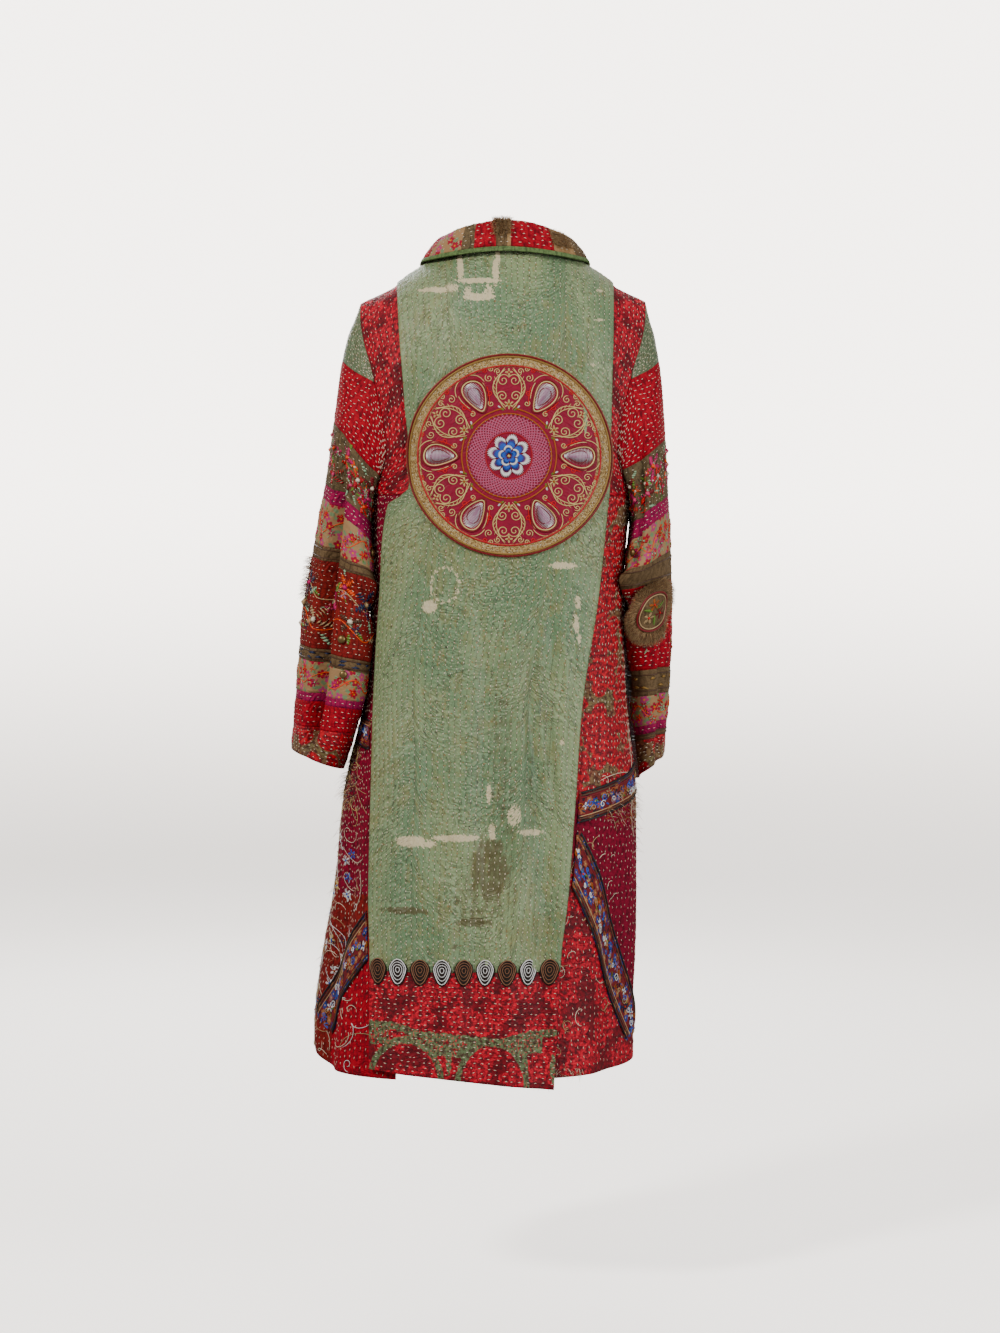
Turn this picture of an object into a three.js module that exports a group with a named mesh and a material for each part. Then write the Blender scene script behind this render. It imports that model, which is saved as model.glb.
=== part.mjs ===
// A long patchwork coat of old silk quilts, worn open over the shoulders, as it hangs on its wearer.
// Millimetres, +Z up. The wearer faces -Y, so the wearer's left is +X. The origin is the middle of the
// neck opening, where the shoulders hold the coat up. A drop is a distance below the origin.
import * as THREE from "three";

// Driving dimensions
const WALL = 2.2; // two layers of silk with a thin cotton filling, stitched through
const APPLIQUE = 1.6; // a patch laid on the quilt
const SEAM_GAP = 0.3; // between two pieces that are sewn together
const RIDGE = 0.5; // how far the quilt rises between its rows of stitches
const LAP = 4.6; // the back panel lies this far outside the panels that it overlaps
const VENT_LIFT = 4.5; // and this much further at the hem, where it hangs free
const ARMPIT = 325; // drop of the lowest point of the armholes
const ARMPIT_LIFT = 3.2; // there the sleeve starts outside the side panel by this much
const BORDER_SEAM = 968; // drop of the seam above the back panel's red border
const SHOULDER_ROUND = 130; // height over which the shoulders round off into the back and chest
const SIDE_SEAM = 90; // degrees from the centre back
const FRONT_GAP = 42; // between the two front edges at the chest
const FRONT_GAP_HEM = 84;
const SLEEVE_CLEARANCE = 5.5; // a hanging sleeve stays this far from the middle of the body's wall
const CUFF_CLEARANCE = 9.5; // and so far where it hangs beside the raised borders

const BACK_COLUMNS = 42; // one for each second row of running stitch
const FRONT_COLUMNS = 14;
const SIDE_COLUMNS = 24;
const STRIP_COLUMNS = 8;
const SLEEVE_COLUMNS = 36;

// The body, section by section: how far it reaches left, right, back and front, and how square it is.
const BODY = [
  { drop: -60, left: 206, right: 200, back: 108, front: 104, square: 2.5 },
  { drop: 60, left: 206, right: 200, back: 112, front: 114, square: 2.5 },
  { drop: 160, left: 202, right: 194, back: 119, front: 134, square: 2.6 },
  { drop: 250, left: 191, right: 182, back: 119, front: 144, square: 2.8 },
  { drop: 325, left: 182, right: 172, back: 115, front: 142, square: 2.9 },
  { drop: 450, left: 184, right: 163, back: 112, front: 134, square: 3.0 },
  { drop: 600, left: 192, right: 166, back: 121, front: 138, square: 2.9 },
  { drop: 728, left: 220, right: 179, back: 134, front: 146, square: 2.7 },
  { drop: 860, left: 235, right: 180, back: 146, front: 154, square: 2.5 },
  { drop: 1000, left: 259, right: 174, back: 157, front: 162, square: 2.4 },
  { drop: 1130, left: 269, right: 174, back: 168, front: 168, square: 2.4 },
];

// The line of the shoulders, from the middle of the neck outwards.
const SHOULDER = [
  { across: 0, height: 28 },
  { across: 40, height: 23 },
  { across: 80, height: 6 },
  { across: 115, height: -14 },
  { across: 150, height: -37 },
  { across: 200, height: -61 },
  { across: 260, height: -92 },
];

// The neckline that the front panels are cut to.
const FRONT_NECK = [
  { across: 14, drop: 118 },
  { across: 45, drop: 66 },
  { across: 80, drop: -6 },
];
const BACK_NECK_DROP = -6;
const NECK_HALF = 80;

// The seams on both sides of the back panel. Below the armpit the left one steps out.
const BACK_PANEL_EDGE = [
  { drop: -30, left: 150, right: 148 },
  { drop: 196, left: 136, right: 142 },
  { drop: 318, left: 130, right: 139 },
  { drop: 338, left: 156, right: 137 },
  { drop: 467, left: 168, right: 124 },
  { drop: 602, left: 176, right: 104 },
  { drop: 737, left: 180, right: 94 },
  { drop: 870, left: 182, right: 83 },
  { drop: 950, left: 180, right: 73 },
  { drop: 1130, left: 180, right: 63 },
];

// How far round the armhole's edge lies from the centre back or front, as a share of the body's half width.
const ARMHOLE = [
  { drop: 20, back: 0.965, front: 0.965 },
  { drop: 62, back: 0.965, front: 0.965 },
  { drop: 100, back: 0.955, front: 0.93 },
  { drop: 165, back: 0.885, front: 0.87 },
  { drop: 250, back: 0.845, front: 0.83 },
  { drop: 283, back: 0.885, front: 0.875 },
  { drop: 309, back: 0.965, front: 0.965 },
  { drop: 325, back: 1, front: 1 },
];

// The hem's drop round the body. It rises where the left side swings out.
const HEM = [
  { turn: -180, drop: 1092 },
  { turn: -90, drop: 1090 },
  { turn: -60, drop: 1108 },
  { turn: 0, drop: 1112 },
  { turn: 60, drop: 1106 },
  { turn: 92, drop: 1064 },
  { turn: 180, drop: 1086 },
];
const FLAP_HEM = { left: 1100, right: 1127 }; // the back panel's own hem, lower on the right

// Folds that run down the body: ridges stand out and troughs lie in.
const BODY_FOLDS = [
  { turn: 13, drift: -3, top: 400, bottom: 1060, half: 7, depth: 5 },
  { turn: 4, drift: -5, top: 430, bottom: 1100, half: 6, depth: -6 },
  { turn: -7, drift: -6, top: 400, bottom: 1180, half: 7, depth: 7 },
  { turn: -18, drift: -7, top: 440, bottom: 1200, half: 7, depth: -7 },
  { turn: 30, drift: -8, top: 640, bottom: 1250, half: 13, depth: 6 },
  { turn: 35, drift: 5, top: 70, bottom: 330, half: 5, depth: -4 },
  { turn: 58, drift: 4, top: 660, bottom: 1300, half: 11, depth: -13 },
  { turn: -52, drift: -4, top: 640, bottom: 1300, half: 13, depth: -9 },
  { turn: -74, drift: 2, top: 760, bottom: 1300, half: 11, depth: 7 },
  { turn: 112, drift: 4, top: 560, bottom: 1300, half: 12, depth: -10 },
  { turn: 138, drift: 2, top: 420, bottom: 1300, half: 13, depth: 9 },
  { turn: -114, drift: -2, top: 560, bottom: 1300, half: 12, depth: -9 },
  { turn: -140, drift: -3, top: 420, bottom: 1300, half: 13, depth: 9 },
];

// Each sleeve, ring by ring: its outer and inner points, and its half depth from front to back.
// share is the way down the arm, from 0 at the armhole to 1 at the cuff.
const LEFT_SLEEVE = [
  { share: 0, outX: 199, outY: 0, outDrop: 60, inX: 182, inY: 0, inDrop: 325, depth: 84 },
  { share: 0.12, outX: 221, outY: 0, outDrop: 124, inX: 188, inY: 2, inDrop: 350, depth: 84 },
  { share: 0.25, outX: 233, outY: 0, outDrop: 205, inX: 182, inY: 8, inDrop: 384, depth: 80 },
  { share: 0.4, outX: 247, outY: -2, outDrop: 300, inX: 176, inY: 18, inDrop: 424, depth: 74 },
  { share: 0.55, outX: 265, outY: -4, outDrop: 398, inX: 172, inY: 28, inDrop: 470, depth: 68 },
  { share: 0.7, outX: 280, outY: -4, outDrop: 490, inX: 173, inY: 32, inDrop: 535, depth: 66 },
  { share: 0.85, outX: 289, outY: -2, outDrop: 590, inX: 184, inY: 28, inDrop: 612, depth: 66 },
  { share: 1, outX: 296, outY: 0, outDrop: 675, inX: 224, inY: 14, inDrop: 702, depth: 66 },
];
const RIGHT_SLEEVE = [
  { share: 0, outX: 193, outY: 0, outDrop: 60, inX: 172, inY: 0, inDrop: 325, depth: 84 },
  { share: 0.12, outX: 211, outY: -2, outDrop: 135, inX: 178, inY: 4, inDrop: 350, depth: 84 },
  { share: 0.25, outX: 219, outY: -6, outDrop: 215, inX: 172, inY: 8, inDrop: 384, depth: 80 },
  { share: 0.4, outX: 225, outY: -12, outDrop: 310, inX: 164, inY: 14, inDrop: 424, depth: 76 },
  { share: 0.55, outX: 230, outY: -18, outDrop: 405, inX: 156, inY: 16, inDrop: 468, depth: 72 },
  { share: 0.7, outX: 232, outY: -30, outDrop: 500, inX: 160, inY: -10, inDrop: 535, depth: 68 },
  { share: 0.85, outX: 229, outY: -46, outDrop: 600, inX: 168, inY: -40, inDrop: 625, depth: 66 },
  { share: 1, outX: 223, outY: -62, outDrop: 688, inX: 176, inY: -66, inDrop: 722, depth: 64 },
];

// Folds that run down a sleeve, and folds across it at the elbow. around is 0 on top of the arm,
// 0.25 at the back, 0.5 under the arm and 0.75 in front.
const SLEEVE_FOLDS = [
  { side: 1, around: 0.17, drift: 0.02, top: 0.2, bottom: 1.02, half: 0.05, depth: -13 },
  { side: 1, around: 0.3, drift: 0, top: 0.3, bottom: 1.02, half: 0.09, depth: 6 },
  { side: 1, around: 0.72, drift: 0.03, top: 0.22, bottom: 0.9, half: 0.07, depth: -7 },
  { side: -1, around: 0.3, drift: 0.03, top: 0.1, bottom: 0.5, half: 0.06, depth: -6 },
  { side: -1, around: 0.12, drift: 0.03, top: 0.6, bottom: 1.02, half: 0.06, depth: -6 },
  { side: -1, around: 0.74, drift: 0, top: 0.25, bottom: 0.95, half: 0.07, depth: -7 },
];
const ELBOW_FOLDS = [
  { side: 1, share: 0.52, half: 0.06, around: 0.4, spread: 0.2, depth: 7 },
  { side: 1, share: 0.6, half: 0.05, around: 0.4, spread: 0.2, depth: -7 },
  { side: -1, share: 0.5, half: 0.06, around: 0.34, spread: 0.2, depth: 13 },
  { side: -1, share: 0.585, half: 0.045, around: 0.34, spread: 0.2, depth: -14 },
  { side: -1, share: 0.78, half: 0.06, around: 0.3, spread: 0.2, depth: -5 },
];

// The bands that each sleeve is pieced from, and how many rows of cells each has.
const SLEEVE_BANDS = [
  { name: "cap", from: 0, to: 0.19, rows: 4 },
  { name: "red_band", from: 0.19, to: 0.31, rows: 2 },
  { name: "flower_band", from: 0.31, to: 0.53, rows: 3 },
  { name: "panel", from: 0.53, to: 0.73, rows: 4 },
  { name: "lower_band", from: 0.73, to: 0.87, rows: 2 },
  { name: "cuff", from: 0.87, to: 1, rows: 2 },
];

// Rows of cells down the body, as shares of the way from the shoulder to the armpit and on to the hem.
const UPPER_ROWS = [0, 0.1, 0.22, 0.36, 0.5, 0.62, 0.74, 0.86, 0.94, 1];
const LOWER_ROWS = [0, 0.06, 0.14, 0.23, 0.32, 0.42, 0.52, 0.62, 0.72, 0.82, 0.91, 1];
const RIDGE_STEP = 1.5; // within this of the shoulder line the cloth turns to face up
const ROUNDED_SHARE = 0.62; // of the way to the armpit is on the rounded shoulder

const BAND_GAP = 0.0006; // half the gap between two bands, as a share of the arm

// The embroidered roundel on the back, its centre and radius.
const MEDALLION = { x: -5, drop: 272, radius: 137, columns: 28, rows: 6 };

// A row of leaf patches, each stitched with a spiral, covers the seam above the border.
const LEAVES = { count: 9, width: 27, height: 35, drop: 966, panel: 272 };

// Woven borders laid across the side panels: the turn and drop at the middle of each end.
const BORDERS = [
  { name: "border_right_upper", turn0: -34, drop0: 748, turn1: -78, drop1: 712, width: 40 },
  { name: "border_right_lower", turn0: -35, drop0: 828, turn1: -72, drop1: 1064, width: 44 },
  { name: "border_left_upper", turn0: 49, drop0: 655, turn1: 74, drop1: 645, width: 38 },
  { name: "border_left_lower", turn0: 43, drop0: 925, turn1: 67, drop1: 1050, width: 48 },
];
const DEGREE = 3.4; // millimetres round the body in a degree, where the borders lie

// The collar's cross-section, from its seam up the stand, over the roll and down the fall: distances
// outwards and upwards at the back, at the sides and at the front ends.
const COLLAR = [
  { step: 0, outBack: 0, upBack: 2.2, outSide: 0, upSide: 2.4, outFront: 0, upFront: 2.6 },
  { step: 1, outBack: 1, upBack: 16, outSide: -1, upSide: 9, outFront: 3, upFront: 9 },
  { step: 2, outBack: 3, upBack: 30, outSide: -1, upSide: 16.5, outFront: 7, upFront: 13 },
  { step: 3, outBack: 7.5, upBack: 38, outSide: 2.5, upSide: 21, outFront: 13, upFront: 15 },
  { step: 4, outBack: 13, upBack: 36, outSide: 10.5, upSide: 18, outFront: 21, upFront: 14 },
  { step: 5, outBack: 16, upBack: 25, outSide: 19.5, upSide: 9, outFront: 32, upFront: 12 },
  { step: 6, outBack: 17, upBack: 11, outSide: 28.5, upSide: -3, outFront: 44, upFront: 10 },
  { step: 7, outBack: 17, upBack: -3, outSide: 36, upSide: -14.5, outFront: 56, upFront: 8.5 },
];
const COLLAR_COLUMNS = 30;
const COLLAR_END = 158; // degrees from the centre back

// Small pieces on the sleeves
const BUTTON_RADIUS = 5.5;
const BUTTONS = [
  { side: 1, around: 0.385, share: 0.385 },
  { side: 1, around: 0.27, share: 0.71 },
  { side: 1, around: 0.285, share: 0.79 },
  { side: -1, around: 0.36, share: 0.4 },
];
const FUR_PATCH = { side: -1, around: 0.225, share: 0.645, radius: 40, height: 5 };

const COLOURS = {
  green: 0x71835f,
  red: 0xa8141f,
  crimson: 0x8f1526,
  olive: 0x5d5340,
  tan: 0xa58a68,
  indigo: 0x2c2a3c,
  gold: 0xc2a25c,
  ink: 0x241c1a,
  fur: 0x8d7358,
  brass: 0x9a7b45,
};

// Small helpers
const mix = (a, b, t) => a + (b - a) * t;
const clamp = (v, low, high) => Math.min(high, Math.max(low, v));
const smooth = (t) => {
  const c = clamp(t, 0, 1);
  return c * c * (3 - 2 * c);
};
const bump = (t) => (Math.abs(t) < 1 ? (1 + Math.cos(Math.PI * t)) / 2 : 0);
const UP = new THREE.Vector3(0, 0, 1);
const radians = THREE.MathUtils.degToRad;
const degrees = THREE.MathUtils.radToDeg;

// One column of a table at a place between its rows, on a smooth curve through them.
function read(table, by, column, at) {
  const last = table.length - 1;
  const place = clamp(at, table[0][by], table[last][by]);
  let i = 0;
  while (i < last - 1 && place > table[i + 1][by]) i += 1;
  const slope = (k) => {
    const before = table[Math.max(k - 1, 0)];
    const after = table[Math.min(k + 1, last)];
    return (after[column] - before[column]) / (after[by] - before[by]);
  };
  const step = table[i + 1][by] - table[i][by];
  const t = (place - table[i][by]) / step;
  const rise = table[i + 1][column] - table[i][column];
  const curved = t * t * (3 - 2 * t) * rise;
  const start = t * (1 - t) * (1 - t) * step * slope(i);
  const end = t * t * (t - 1) * step * slope(i + 1);
  return table[i][column] + curved + start + end;
}

// The body's cross-section at a drop
function section(drop) {
  const at = (column) => read(BODY, "drop", column, drop);
  const left = at("left");
  const right = at("right");
  return {
    centre: (left - right) / 2,
    half: (left + right) / 2,
    back: at("back"),
    front: at("front"),
    square: at("square"),
  };
}

// The turn round the body, in degrees from the centre back, at which its back has this x. With
// facing -1 it is the front's, reached round the side that is given.
function turnAt(x, drop, facing = 1, side = 1) {
  const { centre, half, square } = section(drop);
  const share = clamp((x - centre) / half, -1, 1);
  const across = Math.abs(share);
  const turn = degrees(Math.atan2(across, (1 - across ** square) ** (1 / square)));
  if (facing > 0) return Math.sign(share) * turn;
  return 180 - Math.sign(share) * turn - (side > 0 ? 0 : 360);
}

// The smooth body, before folds: a superellipse at each drop, rounded off below the shoulder line.
function bodyForm(turn, drop) {
  const { centre, half, back, front, square } = section(drop);
  const sin = Math.sin(radians(turn));
  const cos = Math.cos(radians(turn));
  const scale = (Math.abs(sin) ** square + Math.abs(cos) ** square) ** (-1 / square);
  const x = centre + half * scale * sin;
  const below = belowShoulder(x, drop);
  const lean = Math.acos(clamp(1 - below / SHOULDER_ROUND, 0, 1));
  const y = (cos > 0 ? back : front) * scale * cos * Math.sin(lean);
  return new THREE.Vector3(x, y, -drop);
}

// A surface's outward direction at a place, from two small steps along it.
function outward(form, u, v, stepU, stepV) {
  const alongU = form(u + stepU, v).sub(form(u - stepU, v));
  const alongV = form(u, v + stepV).sub(form(u, v - stepV));
  return alongU.cross(alongV).normalize();
}

// How far the body's folds stand out or lie in
function bodyFold(turn, drop) {
  let out = 0;
  for (const fold of BODY_FOLDS) {
    const down = (drop - fold.top) / (fold.bottom - fold.top);
    const middle = fold.turn + fold.drift * down;
    const fade = smooth(down / 0.4) * smooth((1 - down) / 0.15);
    out += fold.depth * fade * bump((turn - middle) / fold.half);
  }
  return out;
}

// How far a place lies below the shoulder line
function belowShoulder(x, drop) {
  return drop + read(SHOULDER, "across", "height", Math.abs(x));
}

// A place on the folded body, lift outside the middle of its wall. The shoulder line faces up as
// far as the armholes.
function onBody(turn, drop, lift = 0) {
  const bare = bodyForm(turn, drop);
  const direction = outward(bodyForm, turn, drop, 0.4, RIDGE_STEP);
  const near = clamp(1 - belowShoulder(bare.x, drop) / RIDGE_STEP, 0, 1);
  direction.lerp(UP, near * smooth((175 - Math.abs(bare.x)) / 25)).normalize();
  const place = bare.addScaledVector(direction, bodyFold(turn, drop) + lift);
  return { place, direction };
}

// The fronts rise near the shoulder seam, to meet the back panel outside the strips.
function frontLift(turn, drop) {
  const { x } = bodyForm(turn, drop);
  const near = 1 - smooth(belowShoulder(x, drop) / 40);
  return LAP * near * smooth((156 - Math.abs(x)) / 14);
}

// The drop of a panel's top edge, on the shoulder line or on a neckline that is cut below it.
function topDrop(turnOf, facing) {
  let drop = 0;
  for (let pass = 0; pass < 12; pass += 1) {
    const x = Math.abs(bodyForm(turnOf(drop), drop).x);
    const neck = facing > 0 ? BACK_NECK_DROP : read(FRONT_NECK, "across", "drop", x);
    const ridge = -read(SHOULDER, "across", "height", x);
    drop = x < NECK_HALF ? Math.max(neck, ridge) : ridge;
  }
  return drop;
}

// The drop at a share of the way from a panel's top edge to the armpit: by angle on the rounded
// shoulder, so that its rows lie evenly on the cloth, and straight below it.
function upperDrop(share, top, x) {
  const height = read(SHOULDER, "across", "height", Math.abs(x));
  const start = Math.acos(clamp(1 - (top + height) / SHOULDER_ROUND, 0, 1));
  const seam = Math.max(start, 0.004);
  if (share < ROUNDED_SHARE) {
    const lean = mix(seam, Math.PI / 2, share / ROUNDED_SHARE);
    return SHOULDER_ROUND * (1 - Math.cos(lean)) - height;
  }
  return mix(SHOULDER_ROUND - height, ARMPIT, (share - ROUNDED_SHARE) / (1 - ROUNDED_SHARE));
}

// The triangles of a thin closed wall. at(i, j) gives the middle of the wall and its outward direction
// at column i and row j. The outside has every column, and the inside every coarse-th one.
function wallGeometry({ columns, rows, at, wall = WALL, ridge = 0, coarse = 1, tube = false }) {
  const middle = [];
  for (let i = 0; i <= columns; i += 1) {
    middle.push([]);
    for (let j = 0; j <= rows; j += 1) {
      const same = tube && i === columns;
      middle[i].push(same ? middle[0][j] : at(i, j));
    }
  }
  drawIn(middle, columns, rows, tube);
  const outer = (i, j) => {
    const edge = j === 0 || j === rows || (!tube && (i === 0 || i === columns));
    const raised = i % 2 === 1 && !edge ? ridge : 0;
    const { place, direction } = middle[i][j];
    return place.clone().addScaledVector(direction, wall / 2 + raised);
  };
  const inner = (i, j) => {
    const { place, direction } = middle[i][j];
    return place.clone().addScaledVector(direction, -wall / 2);
  };
  const corners = [];
  const face = (...points) => points.forEach((p) => corners.push(p.x, p.y, p.z));
  for (let j = 0; j < rows; j += 1) {
    for (let i = 0; i < columns; i += 1) {
      face(outer(i, j), outer(i + 1, j), outer(i + 1, j + 1));
      face(outer(i, j), outer(i + 1, j + 1), outer(i, j + 1));
    }
    for (let i = 0; i < columns; i += coarse) {
      face(inner(i, j), inner(i + coarse, j + 1), inner(i + coarse, j));
      face(inner(i, j), inner(i, j + 1), inner(i + coarse, j + 1));
    }
    if (!tube) {
      face(outer(0, j), outer(0, j + 1), inner(0, j + 1));
      face(outer(0, j), inner(0, j + 1), inner(0, j));
      face(outer(columns, j + 1), outer(columns, j), inner(columns, j));
      face(outer(columns, j + 1), inner(columns, j), inner(columns, j + 1));
    }
  }
  const half = Math.ceil(coarse / 2);
  for (let i = 0; i < columns; i += coarse) {
    for (const [j, turned] of [[0, false], [rows, true]]) {
      const rim = (a, b, c) => (turned ? face(b, a, c) : face(a, b, c));
      for (let m = 0; m < coarse; m += 1) {
        const apex = inner(m < half ? i : i + coarse, j);
        rim(outer(i + m + 1, j), outer(i + m, j), apex);
      }
      rim(inner(i, j), inner(i + coarse, j), outer(i + half, j));
    }
  }
  return closed(corners);
}

// Draws a piece's edges in by half the gap of a seam.
function drawIn(middle, columns, rows, tube) {
  const pull = (edge, next) => {
    if (edge.fixed) return edge;
    const way = next.place.clone().sub(edge.place).normalize();
    const place = edge.place.clone().addScaledVector(way, SEAM_GAP / 2);
    return { place, direction: edge.direction };
  };
  for (let i = 0; i <= columns; i += 1) {
    const row = middle[i];
    if (tube && i === columns) break;
    row[0] = pull(row[0], row[1]);
    row[rows] = pull(row[rows], row[rows - 1]);
  }
  if (tube) {
    middle[columns] = middle[0];
    return;
  }
  for (let j = 0; j <= rows; j += 1) {
    middle[0][j] = pull(middle[0][j], middle[1][j]);
    middle[columns][j] = pull(middle[columns][j], middle[columns - 1][j]);
  }
}

// A geometry from its triangles' corners, turned so that its faces point out.
function closed(corners) {
  let volume = 0;
  for (let k = 0; k < corners.length; k += 9) {
    const [ax, ay, az, bx, by, bz, cx, cy, cz] = corners.slice(k, k + 9);
    volume += ax * (by * cz - bz * cy) + ay * (bz * cx - bx * cz) + az * (bx * cy - by * cx);
  }
  if (volume < 0) {
    for (let k = 0; k < corners.length; k += 9) {
      const second = corners.slice(k + 3, k + 6);
      for (let m = 0; m < 3; m += 1) {
        corners[k + 3 + m] = corners[k + 6 + m];
        corners[k + 6 + m] = second[m];
      }
    }
  }
  const geometry = new THREE.BufferGeometry();
  geometry.setAttribute("position", new THREE.Float32BufferAttribute(corners, 3));
  geometry.computeVertexNormals();
  return geometry;
}

const coat = new THREE.Group();

function add(name, geometry, colour, roughness = 0.85, metalness = 0) {
  const material = new THREE.MeshStandardMaterial({ color: colour, roughness, metalness });
  const mesh = new THREE.Mesh(geometry, material);
  mesh.name = name;
  coat.add(mesh);
}

// The turn at which an armhole's edge lies, on the back or front of one side
function armholeTurn(side, facing, drop) {
  const { centre, half } = section(drop);
  const share = read(ARMHOLE, "drop", facing > 0 ? "back" : "front", drop);
  return turnAt(centre + side * share * half, drop, facing, side);
}

// The drop of a row, on the line down the panel that turn(drop) describes
function rowDrop(turn, facing, row) {
  const top = topDrop(turn, facing);
  return upperDrop(UPPER_ROWS[row], top, bodyForm(turn(top), top).x);
}

// The back panel's edge on one side, moved under it by a lap
function panelEdge(side, drop, lap = 0) {
  const edge = read(BACK_PANEL_EDGE, "drop", side > 0 ? "left" : "right", drop);
  return turnAt(side * (edge - lap), drop);
}

const hemDrop = (turn) => read(HEM, "turn", "drop", turn);
const underlap = (drop) => mix(9, 34, smooth((drop - 600) / 450));
const flapLift = (drop) => LAP + VENT_LIFT * smooth((drop - 680) / 420);

// The back panel, from the neck to the seam above its border, and the border below it
function flapPoint(across, drop) {
  const turn = mix(panelEdge(-1, drop), panelEdge(1, drop), across);
  return onBody(turn, drop, flapLift(drop));
}

function flapHem(across) {
  return mix(FLAP_HEM.right, FLAP_HEM.left, across);
}

function backPanel() {
  const lower = LOWER_ROWS.slice(1, -3);
  const rows = UPPER_ROWS.length - 1 + lower.length;
  const tops = [];
  for (let i = 0; i <= BACK_COLUMNS; i += 1) {
    const across = i / BACK_COLUMNS;
    tops.push(topDrop((drop) => mix(panelEdge(-1, drop), panelEdge(1, drop), across), 1));
  }
  const at = (i, j) => {
    const across = i / BACK_COLUMNS;
    let drop = 0;
    if (j < UPPER_ROWS.length) {
      const x = flapPoint(across, tops[i]).place.x;
      drop = upperDrop(UPPER_ROWS[j], tops[i], x);
    } else {
      const share = lower[j - UPPER_ROWS.length] / lower[lower.length - 1];
      drop = mix(ARMPIT, BORDER_SEAM, share);
    }
    return flapPoint(across, drop);
  };
  return wallGeometry({ columns: BACK_COLUMNS, rows, at, ridge: RIDGE, coarse: 2 });
}

function backBorder() {
  const rows = 3;
  const at = (i, j) => {
    const across = i / BACK_COLUMNS;
    return flapPoint(across, mix(BORDER_SEAM, flapHem(across), j / rows));
  };
  return wallGeometry({ columns: BACK_COLUMNS, rows, at, ridge: RIDGE, coarse: 2 });
}

// The red strip between the back panel and a sleeve
function backStrip(side) {
  const inner = (drop) => panelEdge(side, drop, underlap(drop));
  const outer = (drop) => armholeTurn(side, 1, drop);
  const at = (i, j) => {
    const turn = (drop) => mix(inner(drop), outer(drop), i / STRIP_COLUMNS);
    if (i === STRIP_COLUMNS) return armholeEdge(side, j, -1);
    const drop = rowDrop(turn, 1, j);
    return onBody(turn(drop), drop);
  };
  return wallGeometry({
    columns: STRIP_COLUMNS, rows: UPPER_ROWS.length - 1, at, ridge: RIDGE / 2, coarse: 2,
  });
}

// The side panel below the armhole, from under the back panel to the side seam
function sideTurn(side, drop, across) {
  return mix(panelEdge(side, drop, underlap(drop)), side * SIDE_SEAM, across);
}

function sidePoint(side, i, j) {
  const across = i / SIDE_COLUMNS;
  const drop = mix(ARMPIT, hemDrop(sideTurn(side, 1100, across)), LOWER_ROWS[j]);
  return onBody(sideTurn(side, drop, across), drop);
}

function sidePanel(side) {
  return wallGeometry({
    columns: SIDE_COLUMNS,
    rows: LOWER_ROWS.length - 1,
    at: (i, j) => sidePoint(side, i, j),
    ridge: RIDGE,
    coarse: 2,
  });
}

// A place on the flat facets between a grid's points, lift outside them. Pieces that are laid on
// a panel lie on its facets.
function onFacets(at, columns, rows, u, v, lift) {
  const i = clamp(Math.floor(u), 0, columns - 1);
  const j = clamp(Math.floor(v), 0, rows - 1);
  const a = u - i;
  const b = v - j;
  const near = at(i, j);
  const far = at(i + 1, j + 1);
  const corner = a > b ? at(i + 1, j) : at(i, j + 1);
  const weights = a > b ? [1 - a, a - b, b] : [1 - b, b - a, a];
  const blend = (key) => new THREE.Vector3()
    .addScaledVector(near[key], weights[0])
    .addScaledVector(corner[key], weights[1])
    .addScaledVector(far[key], weights[2]);
  const direction = blend("direction").normalize();
  return { place: blend("place").addScaledVector(direction, lift), direction };
}

function onSide(side, turn, drop, lift) {
  const start = sideTurn(side, drop, 0);
  const u = ((turn - start) / (side * SIDE_SEAM - start)) * SIDE_COLUMNS;
  const share = (drop - ARMPIT) / (hemDrop(turn) - ARMPIT);
  let j = 0;
  while (j < LOWER_ROWS.length - 2 && LOWER_ROWS[j + 1] < share) j += 1;
  const v = j + (share - LOWER_ROWS[j]) / (LOWER_ROWS[j + 1] - LOWER_ROWS[j]);
  return onFacets((p, q) => sidePoint(side, p, q), SIDE_COLUMNS, LOWER_ROWS.length - 1, u, v, lift);
}

// A front panel, from the side seam and armhole to the front edge. Its shoulder seam rises to the
// back panel's.
function frontPanel(side) {
  const edge = (drop) => mix(FRONT_GAP, FRONT_GAP_HEM, drop / 1100) / 2;
  const inner = (drop) => turnAt(side * edge(drop), drop, -1, side);
  const outer = (drop) => (drop < ARMPIT ? armholeTurn(side, -1, drop) : side * SIDE_SEAM);
  const last = UPPER_ROWS.length - 1;
  const at = (i, j) => {
    if (i === 0 && j <= last) return armholeEdge(side, 2 * last - j, -1);
    const turn = (drop) => mix(outer(drop), inner(drop), i / FRONT_COLUMNS);
    const lower = mix(ARMPIT, hemDrop(turn(1080)), LOWER_ROWS[Math.max(j - last, 0)]);
    const drop = j >= last ? lower : rowDrop(turn, -1, j);
    return onBody(turn(drop), drop, frontLift(turn(drop), drop));
  };
  const rows = last + LOWER_ROWS.length - 1;
  return wallGeometry({ columns: FRONT_COLUMNS, rows, at, ridge: RIDGE, coarse: 2 });
}

// An armhole's edge: a corner at each row of the back strip, then of the front panel. Each corner's
// direction halves the bend between the body and the sleeve, and apart points to the sleeve.
const armholes = { 1: [], [-1]: [] };

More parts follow.
